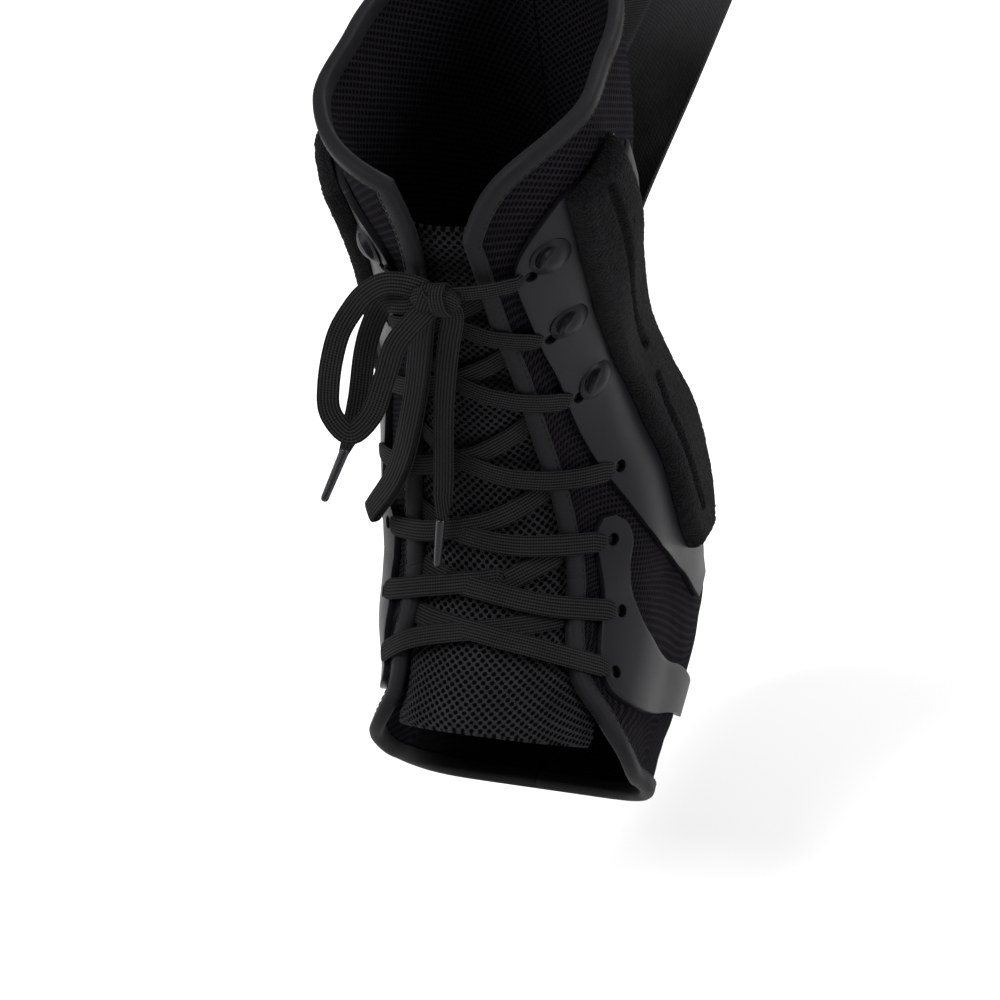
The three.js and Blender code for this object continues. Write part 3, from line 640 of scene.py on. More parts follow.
def woven_lace(name, colour):
    """Flat woven lace: fine ribs along it, crossed by finer picks, with painted shade in the gaps between
    them.
    """
    lace = Finish(name, Sheen_Weight=0.004, Sheen_Roughness=0.5, Specular_IOR_Level=0.03)
    fuzz = lace.place.noise(0.4, 3.0)
    ribs = (lace.width + fuzz * 0.15).wave(0.95)
    picks = (lace.length + fuzz * 0.2).wave(0.8)
    worn = lace.place.noise(12.0)
    # Painted shade: the ribs and picks darken the colour in the gaps between them, where they lower the
    # bump; the worn noise is a random tone.
    light = (ribs * 0.5 + picks * 0.25 + fuzz * 0.25 + worn * 0.25).steps(0.3, 0.95)
    height = ribs * 0.55 + picks * 0.25 + fuzz * 0.25
    rough = fuzz.steps(0.2, 0.8, 0.68, 0.85)
    return lace.finish(colour, 8.0, light, rough, height, 0.3)


def glossy_plastic(name, colour):
    """The hard clear-coated tip of a lace, with faint lengthwise moulding lines."""
    tip = Finish(name, Coat_Weight=0.12, Coat_Roughness=0.12, Specular_IOR_Level=0.2)
    lines = tip.width.wave(0.7)
    grain = tip.place.noise(0.6, 2.0)
    light = (grain * 0.8 + lines * 0.2).steps(0.2, 0.9)
    rough = grain.steps(0.2, 0.8, 0.22, 0.36)
    return tip.finish(colour, 1.6, light, rough, lines * 0.4 + grain, 0.03)


def pale_floor(name):
    floor = Finish(name, Specular_IOR_Level=0.1)
    clouds = floor.place.noise(420.0)
    rough = clouds.steps(0.2, 0.8, 0.9, 1.0)
    return floor.finish((0.86, 0.86, 0.86), 1.03, clouds, rough)


COLOUR = {"subtype": "COLOR", "size": 3, "min": 0, "max": 1}
PITCH = {"subtype": "DISTANCE", "unit": "LENGTH", "min": 0.001, "max": 0.01}


class BraceLooks(bpy.types.PropertyGroup):
    mesh_black: bpy.props.FloatVectorProperty(
        name="Side mesh", description="Darkest colour of the boot's mesh",
        default=(0.0018, 0.0016, 0.0020), **COLOUR)
    tongue_black: bpy.props.FloatVectorProperty(
        name="Tongue mesh", description="Darkest colour of the tongue's spacer mesh",
        default=(0.0011, 0.0011, 0.0012), **COLOUR)
    tape_black: bpy.props.FloatVectorProperty(
        name="Binding tape", description="Colour of the tape round the boot's edge",
        default=(0.0052, 0.0049, 0.0056), **COLOUR)
    plastic_black: bpy.props.FloatVectorProperty(
        name="Moulded plates", description="Colour of the plates and the hooks",
        default=(0.0060, 0.0055, 0.0068), **COLOUR)
    pile_black: bpy.props.FloatVectorProperty(
        name="Pile cover", description="Darkest colour of the looped pile over the stays",
        default=(0.0013, 0.0012, 0.0015), **COLOUR)
    webbing_black: bpy.props.FloatVectorProperty(
        name="Webbing", description="Colour of the two straps",
        default=(0.0085, 0.0083, 0.0093), **COLOUR)
    lace_black: bpy.props.FloatVectorProperty(
        name="Laces", description="Darkest colour of the laces",
        default=(0.0021, 0.0020, 0.0021), **COLOUR)
    tongue_pitch: bpy.props.FloatProperty(
        name="Tongue hole pitch", description="Distance between the holes of the tongue's mesh",
        default=0.0027, **PITCH)
    side_pitch: bpy.props.FloatProperty(
        name="Side hole pitch", description="Distance between the dots of the boot's mesh",
        default=0.0028, **PITCH)
    stitch_length: bpy.props.FloatProperty(
        name="Stitch length", description="Length of one stitch of the binding's seam",
        default=0.0026, **PITCH)


# How tall a cell of each mesh is over its width
SIDE_CELL = 0.9
TONGUE_CELL = 1.05


def finish_of(kind):
    """The material of a kind of piece, made once."""
    if kind in bpy.data.materials:
        return bpy.data.materials[kind]
    looks = bpy.context.scene.brace_looks
    side = looks.side_pitch / MM
    tongue = looks.tongue_pitch / MM
    makers = {
        "side mesh": (mesh_cloth, looks.mesh_black, side, side * SIDE_CELL, side * 0.26, 8.0, 0.5),
        "tongue mesh": (
            mesh_cloth, looks.tongue_black, tongue, tongue * TONGUE_CELL, tongue * 0.27, 27.0, 0.5),
        "binding tape": (tape_cloth, looks.tape_black),
        "moulded plastic": (moulded_plastic, looks.plastic_black),
        "looped pile": (pile_cloth, looks.pile_black),
        "ribbed webbing": (ribbed_webbing, looks.webbing_black),
        "woven lace": (woven_lace, looks.lace_black),
        "lace tip": (glossy_plastic, looks.plastic_black),
        "pale floor": (pale_floor,),
    }
    make, *values = makers[kind]
    return make(kind, *values)


HIGHEST_SWELL = 0.3


def add_shell():
    """The mesh boot, with slow swells where the cloth is drawn round the ankle."""
    def outside(down, across):
        rise = swell(shell_point(down, across, SHELL_WALL), SHELL_SWELLS)
        return shell_point(down, across, SHELL_WALL + np.minimum(rise, HIGHEST_SWELL))

    mesh = sheet_mesh("boot_cloth", BOOT_STEPS, lambda d, a: shell_point(d, a, 0), outside, (0.22, 0.78))
    piece = add_piece(mesh, "side mesh", "boot_shell")


TONGUE = {"top": 0.66, "bottom": 10.12, "outer": 56, "inner": -46}


def add_tongue():
    """The padded tongue. Its net of holes is pressed into its face."""
    pitch = bpy.context.scene.brace_looks.tongue_pitch / MM

    def at(down, across, height):
        station = lerp(TONGUE["top"], TONGUE["bottom"], down)
        angle = lerp(TONGUE["outer"], TONGUE["inner"], across)
        return on_limb(station, angle, height)

    def full(down, across):
        sides = smoothstep(np.minimum(across, 1 - across), 0, 0.25)
        ends = smoothstep(np.minimum(down, 1 - down), -0.004, 0.02)
        return lerp(TONGUE_EDGE, TONGUE_THICK, sides) * lerp(0.35, 1, ends)

    def outside(down, across):
        flat = at(down, across, 0)
        return at(down, across, full(down, across) + swell(flat, TONGUE_SWELLS))

    mesh = sheet_mesh("tongue_pad", TONGUE_STEPS, lambda d, a: at(d, a, 0), outside, (0.52,))
    press_holes(mesh, pitch, pitch * TONGUE_CELL)
    piece = add_piece(mesh, "tongue mesh", "tongue")


# How deep a pressed hole is, and where its slope starts and ends in shares of the pitch
HOLE_DEPTH = 0.7
HOLE_SLOPE = (0.12, 0.42)


def press_holes(mesh, across, down):
    """Sinks the holes of a staggered net into the outer face, read from the UV map."""
    uv = np.zeros((len(mesh.vertices), 2))
    uv[corner_verts(mesh)] = read_all(mesh.uv_layers[UV_NAME].data, "uv", 2)
    cells = uv / (across, down)
    near = [
        np.linalg.norm((np.mod(cells + shift, 1) - 0.5) * (across, down), axis=1)
        for shift in (0.0, 0.5)
    ]
    sunk = 1 - smoothstep(np.minimum(*near), *(share * across for share in HOLE_SLOPE))
    points = read_points(mesh) / MM
    outward = np.arange(len(points)) < len(points) // 2
    depth = (sunk * HOLE_DEPTH * outward)[:, None]
    write_points(mesh, points - read_all(mesh.vertices, "normal", 3) * depth)


# The tape's section round the shell's edge: how far past the edge and how high on the shell
TAPE_SECTION = [
    (-1.00, 0.10), (-0.98, 0.62), (-0.85, 0.98), (-0.60, 1.12), (-0.32, 1.12), (-0.08, 0.98),
    (0.10, 0.45), (0.19, -0.55), (0.20, -1.80), (0.12, -2.75), (-0.05, -3.10),
    (-0.50, -3.16), (-0.92, -3.12), (-1.00, -2.95), (-0.92, -2.72), (-0.40, -2.66),
    (0.03, -2.60), (0.06, -1.30), (0.03, 0.02), (-0.50, 0.06),
]


def binding_route(side):
    """Shares down and across along one half of the boot's edge, from the sole round to the back."""
    edge = 0.0 if side > 0 else 1.0
    start = 0.5 + side * 0.0004
    sole = np.linspace(start, edge, 70)[:-1]
    flap = np.linspace(1, 0, 210)
    top = np.linspace(edge, start, 70)[1:]
    down = np.concatenate([np.ones_like(sole), flap, np.zeros_like(top)])
    across = np.concatenate([sole, np.full_like(flap, edge), top])
    return down, across


def nearest_on_shell(target, down, across):
    """The shares of the places on the shell nearest to some points, searched from a start."""
    nudge = 0.002
    for _ in range(4):
        here = shell_point(down, across, 0)
        along = (shell_point(down + nudge, across, 0) - here) / nudge
        over = (shell_point(down, across + nudge, 0) - here) / nudge
        miss = target - here
        dd, aa = (along**2).sum(-1), (over**2).sum(-1)
        da = (along * over).sum(-1)
        md, ma = (miss * along).sum(-1), (miss * over).sum(-1)
        spread = dd * aa - da * da
        down = np.clip(down + (md * aa - ma * da) / spread, 0, 1)
        across = np.clip(across + (ma * dd - md * da) / spread, 0, 1)
    return down, across


def smooth_rows(values, rounds):
    for _ in range(rounds):
        padded = np.concatenate([values[:1], values, values[-1:]])
        values = (padded[:-2] + padded[1:-1] * 2 + padded[2:]) / 4
    return values


def binding_frames(side):
    down, across = binding_route(side)
    edge = shell_point(down, across, 0)
    out = unit(smooth_rows(shell_point(down, across, SHELL_WALL) - edge, 3))
    along = np.gradient(edge, axis=0)
    past = unit(smooth_rows(unit(np.cross(out, along) * side), 3))
    return down, across, edge, out, past


def binding_place(frames, reach, height):
    """Points beside the edge: on the shell's face where the reach is below zero, and past it else."""
    down, across, edge, out, past = frames
    if reach >= 0:
        return edge + past * reach + out * (SHELL_WALL + height)
    place = nearest_on_shell(edge + past * reach, down, across)
    return shell_point(*place, SHELL_WALL + height)


# The row of stitches: its place across the tape, in shares of the width, its height on the tape,
# the thread's radius and flatness, and half a stitch's length in shares of the pitch
SEAM = {"share": -0.82, "height": 1.0, "radius": 0.33, "flat": 0.8, "half": 0.4}


def add_bindings():
    """The tape that binds the boot's edge, with its row of stitches."""
    pitch = bpy.context.scene.brace_looks.stitch_length / MM
    for name, side in SIDES:
        frames = binding_frames(side)
        rings = [binding_place(frames, share * TAPE_WIDTH, height) for share, height in TAPE_SECTION]
        tape = swept_mesh("tape", np.stack(rings, axis=1))
        route = binding_place(frames, SEAM["share"] * TAPE_WIDTH, SEAM["height"])
        mesh = join_meshes(f"bound_edge_{name}", [tape, stitches_mesh(route, frames[3], pitch)])
        add_piece(mesh, "binding tape", f"binding_{name}")


def read_rows(rows, places):
    """Rows read at places between their own numbers."""
    return np.stack([np.interp(places, np.arange(len(rows)), column) for column in rows.T], -1)


def evenly(route, count):
    """Evenly spaced points along a route, with their places in it."""
    running = lengths_along(route, 0, 0)
    places = np.interp(np.linspace(0, running[-1], count), running, np.arange(len(route)))
    return read_rows(route, places), places


def stitches_mesh(route, outs, pitch):
    """A row of short round stitches along a route that lies on a face."""
    count = max(int(lengths_along(route, 0, 0)[-1] / pitch), 2)
    points, places = evenly(route, count)
    radius, half = SEAM["radius"], SEAM["half"] * pitch
    build = bmesh.new()
    for start, end, out in zip(points, points[1:], read_rows(outs, places)):
        along = Vector(end - start).normalized()
        across = along.cross(Vector(out)).normalized()
        axes = (across * radius, along.cross(across) * -radius * SEAM["flat"], along * half)
        place = Matrix.Translation(Vector((start + end) / 2)) @ Matrix(axes).transposed().to_4x4()
        bmesh.ops.create_uvsphere(
            build, u_segments=6, v_segments=5, radius=1, matrix=Matrix.Scale(MM, 4) @ place)
    build.loops.layers.uv.new(UV_NAME)
    mesh = built(build, "seam")
    face_outward(mesh)
    return mesh


STRIP = ("front_station", "front_angle", "rear_station", "rear_angle")

# The upper plate starts below the top binding, carries the hooks and runs down past the ankle
UPPER_PLATE = [
    (0.50, 46, 0.42, 76),
    (0.62, 38, 0.75, 79),
    (0.80, 30, 1.10, 82),
    (1.00, 26, 1.40, 85),
    (1.30, 27, 1.80, 88),
    (2.05, 35, 2.40, 92),
    (2.70, 43, 3.00, 94),
    (4.10, 53, 4.20, 98),
    (5.60, 67, 5.50, 101),
    (6.60, 82, 6.40, 103),
    (7.45, 95, 7.10, 107),
    (7.75, 102, 7.50, 110),
]

# The lower plate starts in a round lobe, carries three eyelets and sweeps back under the ankle
LOWER_PLATE = [
    (4.92, 48, 4.96, 53),
    (5.15, 44.5, 5.20, 57),
    (5.50, 43.5, 5.60, 58),
    (5.95, 44, 6.15, 55.5),
    (6.70, 45.5, 6.95, 58),
    (7.60, 45.5, 7.65, 63),
    (8.30, 46.5, 8.05, 69),
    (9.00, 52, 8.30, 75),
    (9.35, 60, 8.50, 83),
    (9.55, 74, 8.65, 92),
    (9.60, 96, 8.85, 104),
    (9.65, 112, 9.00, 114),
]

# The pile cover over the stay lies on the upper plate's rear half, from the top to the heel
STAY_COVER = [
    (0.50, 48, 0.33, 72),
    (0.80, 48.5, 0.65, 76),
    (1.15, 50, 1.10, 82),
    (1.60, 55, 1.60, 90),
    (2.10, 61, 2.10, 98),
    (2.75, 70, 2.75, 106),
    (3.45, 78.5, 3.45, 112),
    (4.35, 82, 4.35, 115),
    (5.00, 84, 5.00, 114),
    (5.65, 86, 5.65, 112),
    (6.30, 89, 6.30, 108),
    (6.80, 93, 6.75, 104),
]
COVER_TAPE = [(row[2], row[3] + 1.2, row[2], row[3] + 9) for row in STAY_COVER[1:10]]

PLACE = ("station", "angle")
COVER_SLOTS = [
    Table(PLACE, [(0.55, 61), (1.20, 66), (2.20, 79), (3.10, 90)]),
    Table(PLACE, [(3.70, 92), (4.80, 91), (6.00, 95)]),
]

Hole = namedtuple("Hole", "station angle inner_tuck outer_tuck")
LACE_HOLES = [
    Hole(1.05, 31, 0, 0),
    Hole(1.90, 38, 1.45, 1.25),
    Hole(2.90, 50, 2.20, 2.05),
    Hole(4.30, 61, 3.30, 3.05),
    Hole(5.40, 50, 4.70, 4.10),
    Hole(7.25, 53, 6.00, 5.30),
    Hole(8.70, 54, 7.38, 7.08),
]
HOOKS = [(0.93, 39), (1.78, 46), (2.82, 59)]


def strip_surface(side, rows, height_at):
    """A surface over a strip of one side: height_at takes the angle, and shares down and across."""
    strip = Table(STRIP, rows)

    def surface(down, across):
        row = strip.read(down * (len(rows) - 1))
        station = lerp(row["front_station"], row["rear_station"], across)
        angle = lerp(row["front_angle"], row["rear_angle"], across)
        turned = side_angle(side, station, angle)
        return on_limb(station, turned, height_at(turned, down, across))

    return surface


def limb_frame(station, angle, height):
    """A matrix in metres with X round the limb, Y up it and Z straight out of it."""
    out = Vector(skin_normal(station, angle))
    up = Vector(on_skin(station - STATION_STEP, angle) - on_skin(station + STATION_STEP, angle))
    around = up.cross(out).normalized()
    turn = Matrix((around, out.cross(around), out)).transposed().to_4x4()
    place = Vector(on_limb(station, angle, height))
    return Matrix.Scale(MM, 4) @ Matrix.Translation(place) @ turn


def with_holes(mesh, side, holes):
    """Cuts the lace holes through a plate's mesh and rounds its edges."""
    build = bmesh.new()
    for hole in holes:
        turned = side_angle(side, hole.station, hole.angle)
        matrix = limb_frame(hole.station, turned, plate_inside(turned))
        bmesh.ops.create_cone(build, cap_ends=True, segments=32, radius1=EYELET_RADIUS,
                              radius2=EYELET_RADIUS, depth=CUTTER_DEPTH, matrix=matrix)
    cutter = link("cutter", built(build, "cutter"))
    plate = link("uncut", mesh)
    cut = plate.modifiers.new("holes", "BOOLEAN")
    cut.object = cutter
    cut.solver = "EXACT"
    bevel = plate.modifiers.new("rounded edges", "BEVEL")
    bevel.width = PLATE_ROUNDING * MM
    bevel.segments = 2
    bevel.limit_method = "ANGLE"
    bevel.angle_limit = math.radians(50)
    graph = bpy.context.evaluated_depsgraph_get()
    done = bpy.data.meshes.new_from_object(plate.evaluated_get(graph))
    for item in (cutter, plate):
        old = item.data
        bpy.data.objects.remove(item)
        bpy.data.meshes.remove(old)
    return done


def strip_mesh(name, side, rows, steps, inside, outside):
    """A closed sheet over a strip of one side, between two heights."""
    return sheet_mesh(name, steps, *(strip_surface(side, rows, height) for height in (inside, outside)))


# The plates with their lace holes and the steps of their grids, down and across
PLATES = (
    ("upper_plate", UPPER_PLATE, LACE_HOLES[:4], (150, 30)),
    ("lower_plate", LOWER_PLATE, LACE_HOLES[4:], (120, 16)),
)


def add_plates():
    """The two moulded plates of each side, with their lace holes and rounded edges."""
    for name, side in SIDES:
        for title, rows, holes, steps in PLATES:
            mesh = strip_mesh("plate", side, rows, steps, lambda angle, d, a: plate_inside(angle),
                              lambda angle, d, a: plate_outside(angle))
            mesh = with_holes(mesh, side, holes)
            mesh.name = f"moulded_{title}_{name}"
            add_piece(mesh, "moulded plastic", f"{title}_{name}")


def add_hooks():
    """Domed hooks, each with a curved mouth and a low lip inside it."""
    for name, side in SIDES:
        for number, (station, angle) in enumerate(HOOKS, 1):
            build = bmesh.new()
            add_grid(build, *HOOK_STEPS)
            for vert in build.verts:
                vert.co = hook_point(vert.co.x * 2 * math.pi, vert.co.y, side)
            close_up(build, WELD)
            turned = float(side_angle(side, station, angle))
            place = limb_frame(station, turned, float(plate_outside(turned)) - HOOK_SINK)
            bmesh.ops.transform(build, matrix=place, verts=build.verts)
            build.loops.layers.uv.new(UV_NAME)
            mesh = built(build, f"hook_hood_{name}_{number}")
            face_outward(mesh)
            add_piece(mesh, "moulded plastic", f"hook_{name}_{number}")


# Where a hook's mouth opens, how far it runs either way round and how deep it goes, and the lip
# inside it
MOUTH = {"outer_turn": 138, "inner_turn": 42, "half_angle": 66, "radius": 4.4, "half_width": 0.75,
         "depth": 2.6}
LIP = {"height": 0.3, "inward": 1.2, "half_width": 0.6}
DOME_POWER = 1.1


def hook_point(turn, share, side):
    """A point on a hook's hood, by its turn about the middle and its share from foot to top."""
    radius = HOOK_RADIUS * (1 - share)
    height = HOOK_HEIGHT * (1 - (radius / HOOK_RADIUS) ** 2) ** DOME_POWER
    mouth_turn = math.radians(MOUTH["outer_turn"] if side > 0 else MOUTH["inner_turn"])
    off = math.atan2(math.sin(turn - mouth_turn), math.cos(turn - mouth_turn))
    spread = 1 - (off / math.radians(MOUTH["half_angle"])) ** 2
    if spread > 0:
        half_width = MOUTH["half_width"] * math.sqrt(spread)
        out = radius - MOUTH["radius"]
        height -= MOUTH["depth"] * spread * math.exp(-((out / half_width) ** 4))
        height += LIP["height"] * spread * math.exp(-(((out + LIP["inward"]) / LIP["half_width"]) ** 2))
    return Vector((radius * math.cos(turn), radius * math.sin(turn), max(height, 0.0)))


# How deep the cover's slots are, and how far from their middle the slope runs
SLOT_DEPTH = 2.3
SLOT_SLOPE = (0.5, 2.1)
SLOT_POINTS = 90
BATCH = 4000


def slot_share(side, points):
    """How far down in a slot some points of the cover's face are, from 0 to 1."""
    depth = np.zeros(len(points))
    for slot in COVER_SLOTS:
        places = slot.read(np.linspace(0, len(slot.at) - 1, SLOT_POINTS))
        turned = side_angle(side, places["station"], places["angle"])
        line = on_limb(places["station"], turned, cover_inside(turned) + PAD_THICK)
        for start in range(0, len(points), BATCH):
            part = slice(start, start + BATCH)
            far = np.linalg.norm(points[part, None] - line[None], axis=-1).min(axis=1)
            depth[part] = np.maximum(depth[part], 1 - smoothstep(far, *SLOT_SLOPE))
    return depth


def pad_thickness(down, across):
    rim = np.minimum(np.minimum(across, 1 - across) * 6.5, np.minimum(down, 1 - down) * 24)
    return lerp(PAD_EDGE, PAD_THICK, np.sqrt(1 - (1 - np.clip(rim, 0, 1)) ** 2))


def add_stay_covers():
    """The padded pile covers, with their two slots, and the tape along their rear edges."""
    def seat(angle, down, across):
        return cover_inside(angle)

    def tape_height(angle, down, across):
        puff = np.sin(np.pi * np.clip(across, 0, 1)) ** 0.5
        return cover_inside(angle) + 0.4 + COVER_TAPE_THICK * puff

    for name, side in SIDES:
        flat = strip_surface(side, STAY_COVER, lambda t, d, a: cover_inside(t) + PAD_THICK)

        def pile_height(angle, down, across):
            points = flat(down, across)
            sunk = slot_share(side, points) * SLOT_DEPTH
            return cover_inside(angle) + pad_thickness(down, across) - sunk + swell(points, PILE_LOOPS)

        mesh = strip_mesh(f"pile_cover_{name}", side, STAY_COVER, COVER_STEPS, seat, pile_height)
        piece = add_piece(mesh, "looped pile", f"stay_cover_{name}")
        mesh = strip_mesh(f"cover_edge_{name}", side, COVER_TAPE, COVER_TAPE_STEPS, seat, tape_height)
        add_piece(mesh, "binding tape", f"cover_tape_{name}")


STRAP_SEWN = {"bottom": 3.0, "top": 2.2, "angle": 141, "half_turn": 29}
STRAP_ENDS = {
    "outer": ((41, 47, 154), (0.78, -0.58, 0.23)),
    "inner": ((20, 58, 148), (0.92, 0.39, -0.2)),
}


def with_ends(points):
    """Some points with one more past each end, in a straight line."""
    points = np.array(points, float)
    return np.concatenate([[2 * points[0] - points[1]], points, [2 * points[-1] - points[-2]]])


def curve_span(points, index, share):
    """One span of a smooth centripetal curve through some points, read by shares of it."""
    p0, p1, p2, p3 = points[index: index + 4]
    before, here, after = (np.linalg.norm(q - p) ** 0.5 for p, q in ((p0, p1), (p1, p2), (p2, p3)))
    start = ((p1 - p0) / before - (p2 - p0) / (before + here) + (p2 - p1) / here) * here
    end = ((p2 - p1) / here - (p3 - p1) / (here + after) + (p3 - p2) / after) * here
    s = share[..., None]
    return (p1 * (2 * s**3 - 3 * s**2 + 1) + p2 * (3 * s**2 - 2 * s**3)
            + start * (s**3 - 2 * s**2 + s) + end * (s**3 - s**2))


def smooth_route(points, count):
    """Evenly spaced points on a smooth curve through some points."""
    points = with_ends(points)
    share = np.linspace(0, 1, 24)
    fine = np.concatenate([curve_span(points, index, share) for index in range(len(points) - 3)])
    return evenly(fine, count)[0]


def strap_middle(side, name):
    """The middle surface of a strap, from its sewn end to its upper end."""
    top, width = STRAP_ENDS[name]
    height = SHELL_WALL + LAYER_GAP + WEBBING_THICK / 2
    turned = side * STRAP_SEWN["angle"]
    low, high = STRAP_SEWN["bottom"], STRAP_SEWN["top"]
    knots = with_ends([on_limb(low, turned, height), on_limb(high, turned, height), top])
    ends = [on_limb(high, turned + step, height) for step in (-ANGLE_STEP, ANGLE_STEP)]
    sewn_width = unit(ends[0] - ends[1])

    def centre(share):
        first = curve_span(knots, 0, np.clip(share * 2, 0, 1))
        second = curve_span(knots, 1, np.clip(share * 2 - 1, 0, 1))
        return np.where((share < 0.5)[..., None], first, second)

    def surface(down, across):
        station = lerp(low, high, down * 2)
        on_shell = on_limb(station, turned + (0.5 - across) * 2 * STRAP_SEWN["half_turn"], height)
        share = smoothstep(down, 0.5, 1)[..., None]
        turn = unit(lerp(sewn_width, np.array(width), share))
        flat = centre(down) + turn * ((across - 0.5) * WEBBING_WIDTH)[..., None]
        return lerp(on_shell, flat, smoothstep(down, 0.35, 0.8)[..., None])

    return surface


NUDGE = 0.01


def add_straps():
    """The two webbing straps that rise behind the brace."""
    for name, side in SIDES:
        middle = strap_middle(side, name)

        def away(down, across, share):
            along = (middle(np.minimum(down + NUDGE, 1), across)
                     - middle(np.maximum(down - NUDGE, 0), across))
            over = (middle(down, np.minimum(across + NUDGE, 1))
                    - middle(down, np.maximum(across - NUDGE, 0)))
            edge = smoothstep(np.minimum(across, 1 - across), -0.006, 0.02)
            thick = share * (WEBBING_THICK / 2) * lerp(0.45, 1, edge)
            return middle(down, across) + unit(np.cross(along, over)) * thick[..., None]

        mesh = sheet_mesh(f"webbing_{name}", STRAP_STEPS, lambda d, a: away(d, a, -1),
                          lambda d, a: away(d, a, 1))
        piece = add_piece(mesh, "ribbed webbing", f"strap_{name}")


LACE_RING = 20


def lace_rings(points, faces, widths, thicknesses):
    """Rings of a flat lace with rounded edges along a row of points."""
    along = unit(np.gradient(points, axis=0))
    across = unit(np.cross(along, faces))
    out = np.cross(across, along)
    turn = np.linspace(0, 2 * math.pi, LACE_RING, endpoint=False)
    flat = signed_power(np.cos(turn), 2 / 3.2)
    high = signed_power(np.sin(turn), 2 / 2.6)
    widths = np.broadcast_to(widths, len(points))[:, None, None]
    thicknesses = np.broadcast_to(thicknesses, len(points))[:, None, None]
    return (points[:, None] + across[:, None] * flat[None, :, None] * widths / 2
            + out[:, None] * high[None, :, None] * thicknesses / 2)


ON_PLATE = FLAP_LIFT + SHELL_WALL + LAYER_GAP + PLATE_THICK + 0.2 + LACE_THICK / 2
ON_BINDING = FLAP_LIFT + SHELL_WALL + 1.35 + LACE_THICK / 2
ON_TONGUE = TONGUE_THICK + 0.15 + LACE_THICK / 2
UNDER_FLAP = FLAP_LIFT - 0.6


# How a lace goes down into its hole: where its slope starts and ends, how far it falls and how
# much it thickens
DIP_SLOPE = (0.3, 4.2)
DIP_FALL = 3.0
DIP_SWELL = 0.9
# How narrow a lace is in its hole, and how far out it has its full width
HOLE_LACE_WIDTH = 3.2
FULL_WIDTH_AT = (0.5, 7)
# How far a strand runs on under the other flap, in degrees, and how it lifts where two cross
TUCK_ANGLE = 7
CROSSING_LIFT = {1: 0.75, -1: -0.5}
CROSSING_SLOPE = (5, 17)


def from_hole(station, angle):
    """How far a strand's points are from its hole, and how far down in it, from 0 to 1."""
    places = on_limb(station, angle, 5)
    far = np.linalg.norm(places - places[0], axis=-1)
    return far, 1 - smoothstep(far, *DIP_SLOPE)


def strand_mesh(side, hole, tuck_station):
    """One strand from its hole over its own flap and across the tongue, under the other flap."""
    edges = OPENING.read(tuck_station)
    tuck = -edges["inner_edge"] if side > 0 else edges["outer_edge"]
    share = np.linspace(0, 1, STRAND_POINTS)
    start = side_angle(side, hole.station, hole.angle)
    station = lerp(hole.station, tuck_station, share)
    angle = lerp(start, tuck - side * TUCK_ANGLE, share)
    edges = OPENING.read(station)
    own = edges["outer_edge"] if side > 0 else -edges["inner_edge"]
    on_flap = (angle - own) * side
    before = side * (angle - tuck)
    far, dip = from_hole(station, angle)
    falling = np.clip((side * (own - angle) - 3) / (side * (own - 3 * side - tuck) - 3), 0, 1)
    rising = np.clip(on_flap / (side * (start - own[0])), 0, 1)
    height = np.where(on_flap > 0, lerp(ON_BINDING, ON_PLATE, rising),
                      lerp(ON_BINDING, ON_TONGUE, falling))
    height = smooth_rows(height, 12) - dip * DIP_FALL
    crossing = smoothstep(-on_flap, *CROSSING_SLOPE) * smoothstep(before, *CROSSING_SLOPE)
    height += crossing * CROSSING_LIFT[side]
    tucked = 1 - smoothstep(before, -6, -1)
    height = lerp(height, UNDER_FLAP, tucked)
    width = lerp(HOLE_LACE_WIDTH, LACE_WIDTH, smoothstep(far, *FULL_WIDTH_AT))
    thick = lerp(LACE_THICK, TUCKED_LACE_THICK, tucked) + dip * DIP_SWELL
    points = on_limb(station, angle, height)
    return swept_mesh("strand", lace_rings(points, skin_normal(station, angle), width, thick))


def add_crossings():
    """The crossed laces: at each row the outer strand lies over the inner one."""
    for number, hole in enumerate(LACE_HOLES[1:], 1):
        strands = [strand_mesh(1, hole, hole.inner_tuck), strand_mesh(-1, hole, hole.outer_tuck)]
        mesh = join_meshes(f"crossed_laces_{number}", strands)
        add_piece(mesh, "woven lace", f"lace_crossing_{number}")


KNOT_PLACE = (1.03, 1)
KNOT_RISE = 7.3
BOW_FACE = np.array([0.25, -0.85, 0.45])
LOOP_ROUTE = [
    (-1.5, -88.6, 112), (-6.8, -89, 113.8), (-13, -89, 113.6), (-20, -88, 109), (-25, -88, 103),
    (-29, -90, 96), (-32, -94, 82), (-32, -95, 73), (-27, -95, 67), (-21, -93, 72), (-16, -91, 84),
    (-11, -92, 96), (-4.5, -92.6, 104.2), (-0.5, -90.5, 108.5),
]
SIDE_END_ROUTE = [
    (-2, -88.6, 110), (-8, -88.8, 108), (-14, -86, 106), (-19, -82, 101), (-23, -82, 93), (-25, -83, 86),
    (-27, -86, 73), (-29, -89, 64), (-31, -93, 58),
]
SIDE_TIP = [(-30.4, -91.8, 59.6), (-35, -101, 47)]
ON_FRONT = ("station", "angle", "height")
FOLDED_LOOP = Table(ON_FRONT, [
    (1.08, -1, 12.4), (1.3, -5, 12.6), (1.85, -10, 12.2), (2.65, -16, 12.2), (3.40, -22, 12.2),
    (4.15, -29, 12.6), (5.00, -40, 13.2),
])
FOLDED_RISE = 2.6
FRONT_END = Table(ON_FRONT, [
    (1.06, 4, 13.4), (1.25, 4.5, 13.2), (1.65, 1, 12.4), (2.40, -4, 12), (3.20, -7, 11.5), (4.10, -9, 11.5),
    (4.65, -10, 11.5),
])
FRONT_TIP = [(4.58, -10, 11.5), (5.85, -11, 11.5)]


def cord_piece(name, points, faces, replaced, widths=LACE_WIDTH):
    mesh = swept_mesh(name, lace_rings(points, faces, widths, LACE_THICK))
    piece = add_piece(mesh, "woven lace", replaced)
    path = points * MM
    return piece


